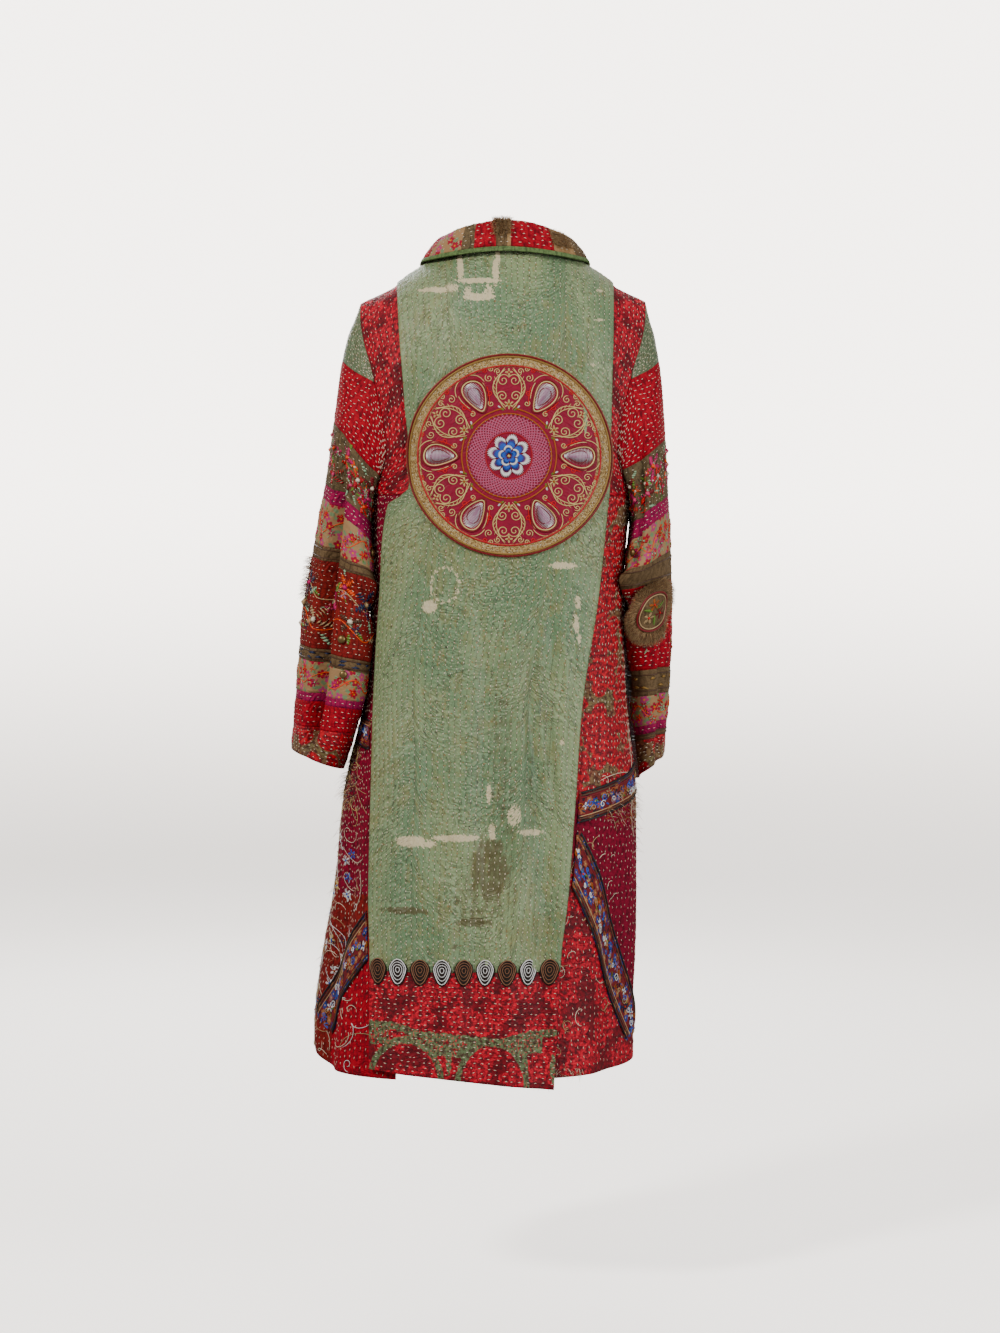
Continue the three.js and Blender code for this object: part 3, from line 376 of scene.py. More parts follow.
# Meshes
class Grid:
    """Places and directions on a cloth, column by row, with distances along it in metres."""

    def __init__(self, place, direction):
        self.place, self.direction = place, direction
        self.size = np.array(place.shape[:2]) - 1
        step_s = np.linalg.norm(np.diff(place, axis=0), axis=-1)
        step_t = np.linalg.norm(np.diff(place, axis=1), axis=-1)
        self.s = np.concatenate([np.zeros((1, place.shape[1])), np.cumsum(step_s, 0)]) / 1000
        self.s = self.s - self.s[self.size[0] // 2]
        self.t = np.concatenate([np.zeros((place.shape[0], 1)), np.cumsum(step_t, 1)], 1) / 1000
        self.relief = np.zeros(place.shape[:2])
        self.wall = WALL

    def at(self, i, j, lift=0.0):
        i = np.clip(i, 0, self.size[0] - 1e-6)
        j = np.clip(j, 0, self.size[1] - 1e-6)
        a, b = np.floor(i).astype(int), np.floor(j).astype(int)
        u, v = (i - a)[..., None], (j - b)[..., None]
        got = []
        for source in (self.place, self.direction):
            low = mix(source[a, b], source[a + 1, b], u)
            high = mix(source[a, b + 1], source[a + 1, b + 1], u)
            got.append(mix(low, high, v))
        direction = unit(got[1])
        return got[0] + direction * np.asarray(lift, float)[..., None], direction

    def top(self, i, j, lift=0.0):
        """A place on the cloth's raised outer face, and the direction out of it."""
        i = np.clip(i, 0, self.size[0] - 1e-6)
        j = np.clip(j, 0, self.size[1] - 1e-6)
        a, b = np.floor(i).astype(int), np.floor(j).astype(int)
        u, v = i - a, j - b
        r = self.relief
        height = mix(mix(r[a, b], r[a + 1, b], u), mix(r[a, b + 1], r[a + 1, b + 1], u), v)
        return self.at(i, j, self.wall / 2 + height + lift)

    def spot(self, i, j):
        """Millimetres across and down the cloth from a place on it, as places on its outer face."""
        per_s, per_t = self.scale(np.asarray(float(i)), np.asarray(float(j)))
        return lambda x, y, lift=0.0: self.top(i + np.asarray(x) * per_s, j + np.asarray(y) * per_t, lift)

    def scale(self, i, j):
        """Columns and rows in a millimetre, at a place."""
        a, b = self.at(i - 0.5, j)[0], self.at(i + 0.5, j)[0]
        c, d = self.at(i, j - 0.5)[0], self.at(i, j + 0.5)[0]
        wide, long = np.linalg.norm(a - b, axis=-1), np.linalg.norm(c - d, axis=-1)
        return 1 / np.maximum(wide, 0.2), 1 / np.maximum(long, 0.2)


def mesh_object(name, verts, faces, materials, uv=None, index=None, flat=None):
    """An object from vertices in millimetres and a list of face arrays, each of one corner count."""
    mesh = bpy.data.meshes.new(name)
    corners = np.concatenate([f.reshape(-1) for f in faces]).astype(np.int32)
    totals = np.concatenate([np.full(len(f), f.shape[1]) for f in faces]).astype(np.int32)
    starts = np.concatenate([[0], np.cumsum(totals)[:-1]]).astype(np.int32)
    mesh.vertices.add(len(verts))
    mesh.vertices.foreach_set("co", (np.asarray(verts) / 1000).astype(np.float32).ravel())
    mesh.loops.add(len(corners))
    mesh.loops.foreach_set("vertex_index", corners)
    mesh.polygons.add(len(totals))
    mesh.polygons.foreach_set("loop_start", starts)
    mesh.polygons.foreach_set("loop_total", totals)
    smooth_faces = np.ones(len(totals), bool) if flat is None else ~flat
    mesh.polygons.foreach_set("use_smooth", smooth_faces)
    for material in materials:
        mesh.materials.append(material)
    if index is not None:
        mesh.polygons.foreach_set("material_index", np.asarray(index, np.int32))
    mesh.update(calc_edges=True)
    if uv is not None:
        layer = mesh.uv_layers.new(name="UVMap")
        layer.data.foreach_set("uv", np.asarray(uv, np.float32)[corners].ravel())
    mesh.validate()
    obj = bpy.data.objects.new(name, mesh)
    bpy.context.scene.collection.objects.link(obj)
    return obj


CLOTHS = {}


def cloth(name, grid, materials, relief=0.0, wall=WALL, coarse=4, pick=None, marks=None):
    """A thin closed shell on a grid. The inside is plain and has every coarse-th column and row."""
    CLOTHS[name] = grid
    ni, nj = grid.size
    grid.relief, grid.wall = np.broadcast_to(relief, grid.place.shape[:2]), wall
    outer = grid.place + grid.direction * (wall / 2 + grid.relief)[..., None]
    ci = np.unique(np.append(np.arange(0, ni, coarse), ni))
    cj = np.unique(np.append(np.arange(0, nj, coarse), nj))
    inner = (grid.place - grid.direction * wall / 2)[np.ix_(ci, cj)]
    verts = np.concatenate([outer.reshape(-1, 3), inner.reshape(-1, 3)])
    uv_out = np.stack([grid.s, grid.t], -1)
    uv = np.concatenate([uv_out.reshape(-1, 2), uv_out[np.ix_(ci, cj)].reshape(-1, 2)])
    base = (ni + 1) * (nj + 1)
    out = np.arange(base).reshape(ni + 1, nj + 1)
    inn = base + np.arange(len(ci) * len(cj)).reshape(len(ci), len(cj))
    quads = np.stack([out[:-1, :-1], out[:-1, 1:], out[1:, 1:], out[1:, :-1]], -1).reshape(-1, 4)
    back = np.stack([inn[:-1, :-1], inn[1:, :-1], inn[1:, 1:], inn[:-1, 1:]], -1).reshape(-1, 4)
    rims = {}
    def rim(outer_line, inner_pair, turned):
        ring = [*outer_line, *inner_pair[::-1]]
        rims.setdefault(len(ring), []).append(ring[::-1] if turned else ring)
    for k in range(len(ci) - 1):
        a, b = ci[k], ci[k + 1]
        rim(out[a:b + 1, 0], inn[k:k + 2, 0], False)
        rim(out[a:b + 1, nj], inn[k:k + 2, -1], True)
    for k in range(len(cj) - 1):
        a, b = cj[k], cj[k + 1]
        rim(out[0, a:b + 1], inn[0, k:k + 2], True)
        rim(out[ni, a:b + 1], inn[-1, k:k + 2], False)
    sides = [np.array(r) for r in rims.values()]
    faces = [quads, back, *sides]
    # Faces are turned so that they point out on either hand
    a, b, c = (verts[quads[len(quads) // 2 + ni // 3][k]] for k in range(3))
    along = np.cross(b - a, c - a)
    facing = grid.direction[ni // 2, nj // 2]
    if np.dot(along, facing) < 0:
        faces = [f[:, ::-1] for f in faces]
    count = sum(len(f) for f in faces)
    flat = np.zeros(count, bool)
    flat[len(quads) + len(back):] = True
    index = None
    if pick is not None:
        middle = pick[:-1, :-1].reshape(-1)
        coarse_pick = pick[np.ix_(ci[:-1], cj[:-1])].reshape(-1)
        index = np.concatenate([middle, coarse_pick, np.zeros(count - len(quads) - len(back), int)])
    obj = mesh_object(name, verts, faces, materials, uv, index, flat)
    for key, values in (marks or {}).items():
        layer = obj.data.attributes.new(key, "FLOAT", "POINT")
        flatv = np.concatenate([values.reshape(-1), values[np.ix_(ci, cj)].reshape(-1)])
        layer.data.foreach_set("value", flatv.astype(np.float32))


# Shaders
DEPTH = 0.62  # the dyes' strength: brightness and saturation against the named colour
SATURATION = 1.12


def linear(code):
    """A linear colour from a hex code."""
    parts = [int(code[k:k + 2], 16) / 255 for k in (0, 2, 4)]
    return tuple(c / 12.92 if c <= 0.04045 else ((c + 0.055) / 1.055) ** 2.4 for c in parts) + (1.0,)


def dye(code):
    """A dye's linear colour, a little deeper than its code, as the light washes it out."""
    parts = np.array(linear(code)[:3])
    grey = parts.mean()
    return (*np.clip(DEPTH * (grey + (parts - grey) * SATURATION), 0.001, 1), 1.0)


class Shader:
    """Builds one material. Values may be numbers, hex colours or sockets."""

    def __init__(self, name):
        self.material = bpy.data.materials.new(name)
        self.material.use_nodes = True
        self.tree = self.material.node_tree
        self.tree.nodes.clear()
        self.surface = self.tree.nodes.new("ShaderNodeBsdfPrincipled")
        output = self.tree.nodes.new("ShaderNodeOutputMaterial")
        self.tree.links.new(self.surface.outputs[0], output.inputs[0])
        self.uv = self.tree.nodes.new("ShaderNodeUVMap").outputs[0]

    def set(self, socket, value):
        if isinstance(value, bpy.types.NodeSocket):
            self.tree.links.new(value, socket)
        elif isinstance(value, str):
            socket.default_value = dye(value)
        else:
            socket.default_value = value

    def math(self, operation, *values, clamp=False):
        node = self.tree.nodes.new("ShaderNodeMath")
        node.operation, node.use_clamp = operation, clamp
        for k, value in enumerate(values):
            self.set(node.inputs[k], value)
        return node.outputs[0]

    def times(self, a, b, clamp=False):
        return self.math("MULTIPLY", a, b, clamp=clamp)

    def plus(self, a, b):
        return self.math("ADD", a, b)

    def minus(self, a, b):
        return self.math("SUBTRACT", a, b)

    def over(self, base, mask, strength, colour):
        """A colour laid over base where mask is 1, at a strength."""
        return self.mix(self.times(mask, strength), base, colour)

    def mix(self, factor, a, b):
        node = self.tree.nodes.new("ShaderNodeMix")
        node.data_type = "RGBA"
        self.set(node.inputs[0], factor)
        self.set(node.inputs[6], a)
        self.set(node.inputs[7], b)
        return node.outputs[2]

    def ramp(self, value, low, high):
        node = self.tree.nodes.new("ShaderNodeMapRange")
        node.interpolation_type = "SMOOTHSTEP"
        self.set(node.inputs[0], value)
        node.inputs[1].default_value, node.inputs[2].default_value = low, high
        return node.outputs[0]

    def scaled(self, x, y, offset=(0.0, 0.0), vector=None):
        node = self.tree.nodes.new("ShaderNodeMapping")
        self.set(node.inputs[0], vector or self.uv)
        node.inputs[1].default_value = (*offset, 0)
        node.inputs[3].default_value = (x, y, 1)
        return node.outputs[0]

    def noise(self, scale, detail=3.0, stretch=1.0, seed=0.0, roughness=0.55, vector=None):
        node = self.tree.nodes.new("ShaderNodeTexNoise")
        node.noise_dimensions = "2D"
        self.set(node.inputs["Vector"], self.scaled(scale, scale * stretch, (seed, seed * 0.7), vector))
        node.inputs["Scale"].default_value = 1
        node.inputs["Detail"].default_value = detail
        node.inputs["Roughness"].default_value = roughness
        return node.outputs[0]

    def voronoi(self, scale, feature="F1", randomness=1.0, seed=0.0, stretch=1.0):
        node = self.tree.nodes.new("ShaderNodeTexVoronoi")
        node.voronoi_dimensions, node.feature = "2D", feature
        vector = self.scaled(scale, scale * stretch, (seed, seed * 1.3))
        self.set(node.inputs["Vector"], vector)
        node.inputs["Scale"].default_value = 1
        node.inputs["Randomness"].default_value = randomness
        return node, vector

    def attribute(self, name):
        node = self.tree.nodes.new("ShaderNodeAttribute")
        node.attribute_name = name
        return node.outputs["Fac"]

    def flowers(self, cell, petals, size, seed=0.0, randomness=0.75):
        """Flower shapes, one in each cell: how far inside a petal, the radius and a random number."""
        node, vector = self.voronoi(1 / cell, randomness=randomness, seed=seed)
        away = self.tree.nodes.new("ShaderNodeVectorMath")
        away.operation = "SUBTRACT"
        self.set(away.inputs[0], vector)
        self.set(away.inputs[1], node.outputs["Position"])
        parts = self.tree.nodes.new("ShaderNodeSeparateXYZ")
        self.set(parts.inputs[0], away.outputs[0])
        colour = self.tree.nodes.new("ShaderNodeSeparateColor")
        self.set(colour.inputs[0], node.outputs["Color"])
        angle = self.math("ARCTAN2", parts.outputs[1], parts.outputs[0])
        angle = self.plus(angle, self.times(colour.outputs[0], 6.28))
        wave = self.math("ABSOLUTE", self.math("COSINE", self.times(angle, petals / 2)))
        reach = self.times(self.plus(self.times(wave, 0.4), 0.6), size)
        radius = node.outputs["Distance"]
        return self.minus(reach, radius), radius, colour.outputs[1]

    def height(self, value, distance, normal=None):
        node = self.tree.nodes.new("ShaderNodeBump")
        node.inputs["Strength"].default_value = 1
        node.inputs["Distance"].default_value = distance
        self.set(node.inputs["Height"], value)
        if normal is not None:
            self.set(node.inputs["Normal"], normal)
        return node.outputs[0]

    def finish(self, colour, roughness=0.7, normal=None, sheen=0.06, metallic=0.0):
        self.set(self.surface.inputs["Base Color"], colour)
        self.set(self.surface.inputs["Roughness"], roughness)
        self.surface.inputs["Metallic"].default_value = metallic
        self.surface.inputs["Specular IOR Level"].default_value = sheen
        if normal is not None:
            self.set(self.surface.inputs["Normal"], normal)
        return self.material

    def painted_wrinkle_shade(self, scale=120, width=0.035, seed=5.0, stretch=1.5):
        """Thin winding lines for painted shade of small wrinkles: 1 on a line and 0 between them."""
        level = self.noise(scale, 2, stretch, seed, 0.4)
        away = self.math("ABSOLUTE", self.minus(level, 0.5))
        return self.minus(1.0, self.ramp(away, 0.0, width))

    def ripples(self, scale=44, waves=5.0, seed=5.0, stretch=1.7):
        """Winding ripples of crumpled silk, from -1 to 1."""
        level = self.noise(scale, 1, stretch, seed, 0.4)
        return self.math("SINE", self.times(level, 6.2832 * waves))

    def worn_weave(self, depth=0.0012):
        """The relief of crumpled silk: winding ripples, soft dents and a faint woven grain."""
        calm = self.ramp(self.noise(14, 2, 1.0, 8.0), 0.3, 0.62)
        lines = self.times(self.times(self.ripples(), calm), 0.22)
        soft = self.noise(70, 2, 1.2, 5.0)
        grain = self.times(self.noise(1400, 1, 0.5, 2.0), 0.04)
        return self.height(self.plus(self.plus(lines, soft), grain), depth)


def green_silk():
    s = Shader("green_silk")
    base = s.mix(s.ramp(s.noise(9, 4, 0.6, 1.0), 0.35, 0.65), "5d7656", "7a8964")
    brown = s.plus(s.noise(70, 6, 0.5, 7.0, 0.7), s.times(s.noise(8, 2, 0.7, 3.0), 0.5))
    brown = s.ramp(brown, 0.74, 0.92)
    base = s.over(base, brown, 0.6, "76734a")
    # Painted shade on the winding ripples, the same ripples as in the relief, where the silk is calm
    ripple_shade = s.ramp(s.ripples(), 0.62, 0.98)
    calm = s.ramp(s.noise(14, 2, 1.0, 8.0), 0.3, 0.62)
    base = s.over(base, s.times(ripple_shade, calm), 0.55, "3f4834")
    # Thin winding lines of painted wrinkle shade
    base = s.over(base, s.painted_wrinkle_shade(60, 0.014, 9.0, 1.6), 0.8, "2c2c1c")
    # Painted shade along each row of running stitch, in the troughs of the quilting
    groove_shade = s.math("ABSOLUTE", s.math("SINE", s.times(s.attribute("row"), 3.1416)))
    groove_shade = s.times(s.ramp(s.minus(0.42, groove_shade), 0.0, 0.42), s.noise(160, 2, 2.0, 2.0))
    base = s.mix(s.times(groove_shade, 1.1, clamp=True), base, "363c28")
    glint = s.ramp(s.ripples(), -0.35, -0.95)
    base = s.over(base, s.times(glint, calm), 0.22, "a4b290")
    specks = s.ramp(s.noise(300, 2, 1.0, 9.0), 0.66, 0.74)
    base = s.over(base, specks, 0.8, "8a5a34")
    pale = s.ramp(s.noise(520, 2, 1.0, 13.0), 0.66, 0.72)
    base = s.over(base, pale, 0.6, "b3a888")
    ragged = s.plus(s.attribute("worn"), s.times(s.minus(s.noise(260, 5, 1.0, 4.0), 0.5), 1.1))
    bare = s.ramp(ragged, 0.62, 0.72)
    stain = s.ramp(s.plus(s.attribute("stain"), s.minus(s.noise(120, 5, 0.6, 6.0), 0.5)), 0.35, 0.8)
    base = s.over(base, stain, 0.8, "4c4228")
    base = s.mix(bare, base, s.mix(s.noise(600, 2), "cfc4a4", "a89a78"))
    return s.finish(base, 0.5, s.worn_weave(), 0.2)


def red_floral(name, ground, deep, bright, cell=0.042, cover=0.62, seed=0.0, gaps=None):
    """Tone-on-tone roses on red silk. Where gaps is set, that ground shows at the marked places."""
    s = Shader(name)
    inside, radius, _ = s.flowers(cell, 5, cover, seed)
    mask = s.ramp(inside, 0.0, 0.05)
    rings = s.math("SINE", s.plus(s.times(radius, 26), s.times(s.noise(60, 2, 1.0, seed), 9)))
    flower = s.mix(s.ramp(rings, -0.6, 0.9), deep, bright)
    streak = s.ramp(s.noise(260, 3, 0.3, seed + 2), 0.4, 0.65)
    flower = s.over(flower, streak, 0.45, bright)
    under = s.mix(s.noise(40, 4, 1.0, seed + 5), ground, deep)
    base = s.mix(mask, under, flower)
    if gaps:
        ragged = s.times(s.minus(s.noise(140, 4, 1.0, 2.0), 0.5), 0.9)
        open_ = s.ramp(s.plus(s.attribute("gap"), ragged), 0.5, 0.56)
        base = s.mix(open_, base, s.mix(s.noise(60, 4, 1.0, 3.0), gaps, "4c5a3c"))
    dark = s.ramp(s.noise(180, 3, 1.0, seed + 9), 0.46, 0.62)
    base = s.over(base, dark, 0.75, "380610")
    # Thin winding lines of painted wrinkle shade
    base = s.over(base, s.painted_wrinkle_shade(90, 0.05, seed), 0.6, "36060c")
    shine = s.ramp(s.noise(420, 3, 0.6, seed + 3), 0.58, 0.7)
    base = s.over(base, s.times(shine, mask), 0.6, "e0404c")
    return s.finish(base, 0.62, s.worn_weave(), 0.12)


def plain_silk(name, colours, roughness=0.75, streak=(260, 0.3), sheen=0.07):
    """A worn silk between three colours, with slubs, and with painted shade of wrinkles and folds in the third."""
    s = Shader(name)
    base = s.mix(s.noise(22, 4, 0.6, 1.0), colours[0], colours[1])
    slub = s.ramp(s.noise(streak[0], 4, streak[1], 8.0), 0.5, 0.68)
    base = s.over(base, slub, 0.85, colours[2])
    # Thin winding lines of painted wrinkle shade
    base = s.over(base, s.painted_wrinkle_shade(100, 0.05, 4.0), 0.6, colours[2])
    # Painted shade of soft folds, at random places
    fold_shade = s.ramp(s.noise(150, 4, 0.7, 12.0), 0.5, 0.66)
    base = s.over(base, fold_shade, 0.45, colours[2])
    return s.finish(base, roughness, s.worn_weave(), sheen)


def small_flowers(name, ground, petal, heart, leaf, cell=0.02):
    """A patch with small scattered flowers and leaves worked on it."""
    s = Shader(name)
    base = s.mix(s.noise(40, 4, 0.5, 1.0), ground[0], ground[1])
    leafs, _, _ = s.flowers(cell * 0.7, 2, 0.34, 4.0, 0.9)
    base = s.mix(s.ramp(leafs, 0.0, 0.03), base, leaf)
    inside, radius, chance = s.flowers(cell, 5, 0.4, 1.0, 0.9)
    colour = s.mix(s.ramp(chance, 0.45, 0.5), petal[0], petal[1])
    base = s.mix(s.ramp(inside, 0.0, 0.03), base, colour)
    base = s.mix(s.ramp(s.minus(0.1, radius), 0.0, 0.03), base, heart)
    return s.finish(base, 0.75, s.worn_weave(0.0008), 0.06)


def crimson_gold():
    """The round patch's ground: crimson satin, with a mottled gold rim."""
    s = Shader("crimson_gold")
    base = s.mix(s.noise(60, 4, 1.0, 1.0), "8e0e34", "6c0c2a")
    # Thin winding lines of painted wrinkle shade
    base = s.over(base, s.painted_wrinkle_shade(140, 0.05, 4.0), 0.4, "44061c")
    mottled = s.ramp(s.noise(330, 4, 1.0, 6.0), 0.42, 0.6)
    base = s.mix(s.ramp(s.attribute("rim"), 0.868, 0.874), base, s.mix(mottled, "b09468", "6a5030"))
    return s.finish(base, 0.6, s.worn_weave(0.001), 0.15)


MATERIALS = {
    "crimson_gold": crimson_gold(),
    "green": green_silk(),
    "red_floral": red_floral("red_floral", "5c0a1a", "7c0c22", "c01a36"),
    "red_gaps": red_floral("red_gaps", "5c0a1a", "7c0c22", "c01a36", 0.036, 0.64, 2.0, "6c7a58"),
    "red_green": red_floral("red_green", "66764e", "7c0c22", "b8182e", 0.05, 0.74, 4.0),
    "red_kantha": plain_silk("red_kantha", ("8a1024", "aa1830", "500a16")),
    "crimson": plain_silk("crimson", ("6c0e28", "841430", "400816")),
    "rust": plain_silk("rust", ("6c1c1e", "822822", "44100f")),
    "olive": plain_silk("olive", ("5a4c38", "685840", "382e22")),
    "magenta": plain_silk("magenta", ("861c40", "9c2850", "581430")),
    "tan_floral": small_flowers("tan_floral", ("86694c", "9a7c5c"), ("8e2434", "a04468"), "c08038", "6c7c5c", 0.017),
    "brown": plain_silk("brown", ("5c4a36", "6e5a42", "433424"), 0.85, (300, 0.2)),
    "tan": plain_silk("tan", ("8f7250", "a58560", "7a5c3e")),
    "green_plain": plain_silk("green_plain", ("54683e", "667850", "3c4a2c")),
    "navy": small_flowers("navy", ("5a2226", "70282a"), ("2c3c78", "8c5a40"), "a88c68", "2c1c24", 0.013),
    "ink": plain_silk("ink", ("1c1614", "2a211c", "14100e")),
}


# The cloth pieces
def spaced(length, pitch):
    return max(2, int(round(length / pitch)))


def quilted(grid, rows, height=0.55, along="t", seed=0):
    """Relief between rows of running stitch, with the puckers that the stitches pull in."""
    i, j = np.meshgrid(np.arange(grid.size[0] + 1), np.arange(grid.size[1] + 1), indexing="ij")
    phase = (i / grid.size[0] if along == "t" else j / grid.size[1]) * rows
    ridge = np.sqrt(np.abs(np.sin(np.pi * phase)))
    along_mm, across_mm = (grid.t, grid.s) if along == "t" else (grid.s, grid.t)
    pucker = noise(along_mm * 1000 / 6.5, phase, seed) - 0.5
    swell = noise(across_mm * 1000 / 24, along_mm * 1000 / 30, seed + 3) - 0.5
    edge = np.minimum.reduce([i, grid.size[0] - i, j, grid.size[1] - j])
    return (height * ridge + pucker + 1.2 * swell) * np.clip(edge / 3, 0, 1)


def build(turn_of, facing, rows, bottom, lift, nu):
    u = np.linspace(0, 1, nu + 1)
    drop = descent(lambda d: turn_of(u, d), facing, bottom(u), rows)
    turn = turn_of(u[:, None], drop)
    return Grid(*on_body(turn, drop, lift(turn, drop))), turn, drop


def flap_turn(u, drop):
    return mix(panel_edge(-1, drop), panel_edge(1, drop), u)


BACK_ROWS = 38
back, _, back_drop = build(
    flap_turn, 1, np.linspace(0, 1, 330), lambda u: BORDER_SEAM + 0 * u,
    lambda turn, drop: flap_lift(drop), BACK_ROWS * 4)

# Worn and stained places on the back panel: x, drop, half width, half height, strength
WORN = [
    (62, 4, 3, 14, 0.9), (10, 5, 3, 14, 0.9), (36, 38, 26, 3, 1.0), (60, 22, 4, 12, 0.9), (13, 26, 4, 16, 0.9),
    (36, 60, 18, 4, 1.0), (22, 52, 5, 8, 0.8), (50, 54, 5, 8, 0.8), (90, 50, 22, 3, 1.0), (72, 46, 8, 4, 0.8),
    (-128, 50, 5, 2, 0.9), (-128, 90, 6, 2, 0.9), (-118, 150, 7, 2, 0.8),
    *[(81 + 19 * np.cos(turn), 446 + 24 * np.sin(turn), 3.2, 3.6, 0.62) for turn in np.arange(0, 6.2, 0.2)],
    (102, 476, 8, 7, 1.0),
    (-78, 420, 16, 4, 0.95), (-98, 470, 4, 10, 0.8), (-96, 500, 4, 12, 0.8), (-100, 520, 3, 6, 0.8),
    (22, 728, 3, 12, 0.9), (18, 780, 4, 10, 0.9), (-12, 758, 9, 14, 0.75), (126, 793, 18, 6, 1.0),
    (66, 788, 28, 4, 0.95), (-34, 780, 16, 4, 0.85), (104, 796, 10, 5, 0.8), (-76, 660, 4, 3, 0.8),
]
STAINS = [
    (134, 886, 24, 4, 0.9), (42, 900, 20, 5, 0.9), (66, 934, 6, 3, 0.8), (78, 954, 4, 3, 0.8),
    (20, 830, 22, 40, 0.75),
    (0, 700, 18, 120, 0.45), (-30, 640, 30, 140, 0.4), (60, 240, 60, 60, 0.35), (-60, 880, 20, 60, 0.35),
    (110, 620, 40, 70, 0.3), (-20, 560, 50, 60, 0.35), (30, 870, 40, 30, 0.5),
]


def marked(table, x, drop):
    out = np.zeros_like(x)
    for cx, cd, wide, high, strength in table:
        far = np.sqrt(((x - cx) / wide) ** 2 + ((drop - cd) / high) ** 2)
        out = np.maximum(out, strength * np.clip(1.7 - 0.85 * far, 0, 1))
    return out


# Creases of the back panel: x and drop at both ends, half width, depth
CREASES = [
    (-60, 430, -66, 800, 8, -3.4), (-46, 440, -52, 820, 9, 3.0), (-34, 540, -40, 830, 8, -3.2),
    (-20, 560, -24, 860, 10, 2.8), (-80, 470, -78, 760, 9, 2.6), (2, 740, -14, 980, 12, -3.6),
    (36, 760, 24, 990, 14, 3.4), (70, 780, 58, 990, 13, -3.0), (96, 430, 104, 860, 10, -2.0),
    (112, 380, 122, 900, 9, 2.2), (84, 30, 118, 250, 8, -2.6), (98, 20, 126, 260, 7, 2.4),
    (-30, 860, -48, 990, 10, 3.0), (40, 380, 30, 620, 12, -1.8), (-100, 60, -112, 300, 10, 2.2)]


def creased(x, drop):
    out = np.zeros_like(x)
    for x0, drop0, x1, drop1, half, depth in CREASES:
        down = (drop - drop0) / (drop1 - drop0)
        fade = smooth(down / 0.3) * smooth((1 - down) / 0.25)
        waver = 3 * np.sin(drop / 37 + x0)
        out = out + depth * fade * bump((x - mix(x0, x1, down) - waver) / half)
    return out


x_back = back.place[..., 0]
back_relief = quilted(back, BACK_ROWS, 0.8) + creased(x_back, back_drop)
row = np.linspace(0, BACK_ROWS, back.size[0] + 1)[:, None] + 0 * back_drop
cloth("back_panel_cloth", back, [MATERIALS["green"]], back_relief,
      marks={"worn": marked(WORN, x_back, back_drop), "stain": marked(STAINS, x_back, back_drop), "row": row})

# The border below the back panel
u = np.linspace(0, 1, BACK_ROWS * 4 + 1)
v = np.linspace(0, 1, 50)
border_drop = mix(BORDER_SEAM, mix(FLAP_HEM[0], FLAP_HEM[1], u)[:, None], v[None, :])
border = Grid(*on_body(flap_turn(u[:, None], border_drop), border_drop, flap_lift(border_drop)))
# The green ground shows along a wavy line and round two bell shapes: x, drop, half width, height
GAP_LINE = [(150, 1040), (110, 1052), (60, 1056), (10, 1062), (-30, 1052), (-90, 1050)]
GAP_BELLS = [(134, 1120, 46, 58), (18, 1124, 44, 60)]
GAP_SLITS = [(76, 1085, 5, 34), (-26, 1092, 6, 34), (-64, 1100, 5, 40)]
border_x = border.place[..., 0]
line = np.interp(border_x, [x for x, _ in GAP_LINE[::-1]], [drop for _, drop in GAP_LINE[::-1]])
gap = 0.95 * bump((border_drop - line) / 11)
for x, drop, wide, high in GAP_BELLS:
    reach = np.sqrt(((border_x - x) / wide) ** 2 + ((border_drop - drop) / high) ** 2)
    gap = np.maximum(gap, 1.15 * bump((reach - 1.06) / 0.16) * (border_drop < drop))
    corner = (np.abs(np.abs(border_x - x) - wide) < 24) & (border_drop > line) & (reach > 1.05)
    corner &= border_drop < line + 26
    gap = np.maximum(gap, 0.62 * corner)
for x, drop, wide, high in GAP_SLITS:
    gap = np.maximum(gap, 1.1 * bump((border_x - x) / wide / 1.5) * bump((border_drop - drop) / high))
cloth("back_border_cloth", border, [MATERIALS["red_gaps"]], quilted(border, BACK_ROWS, 0.7), marks={"gap": gap})

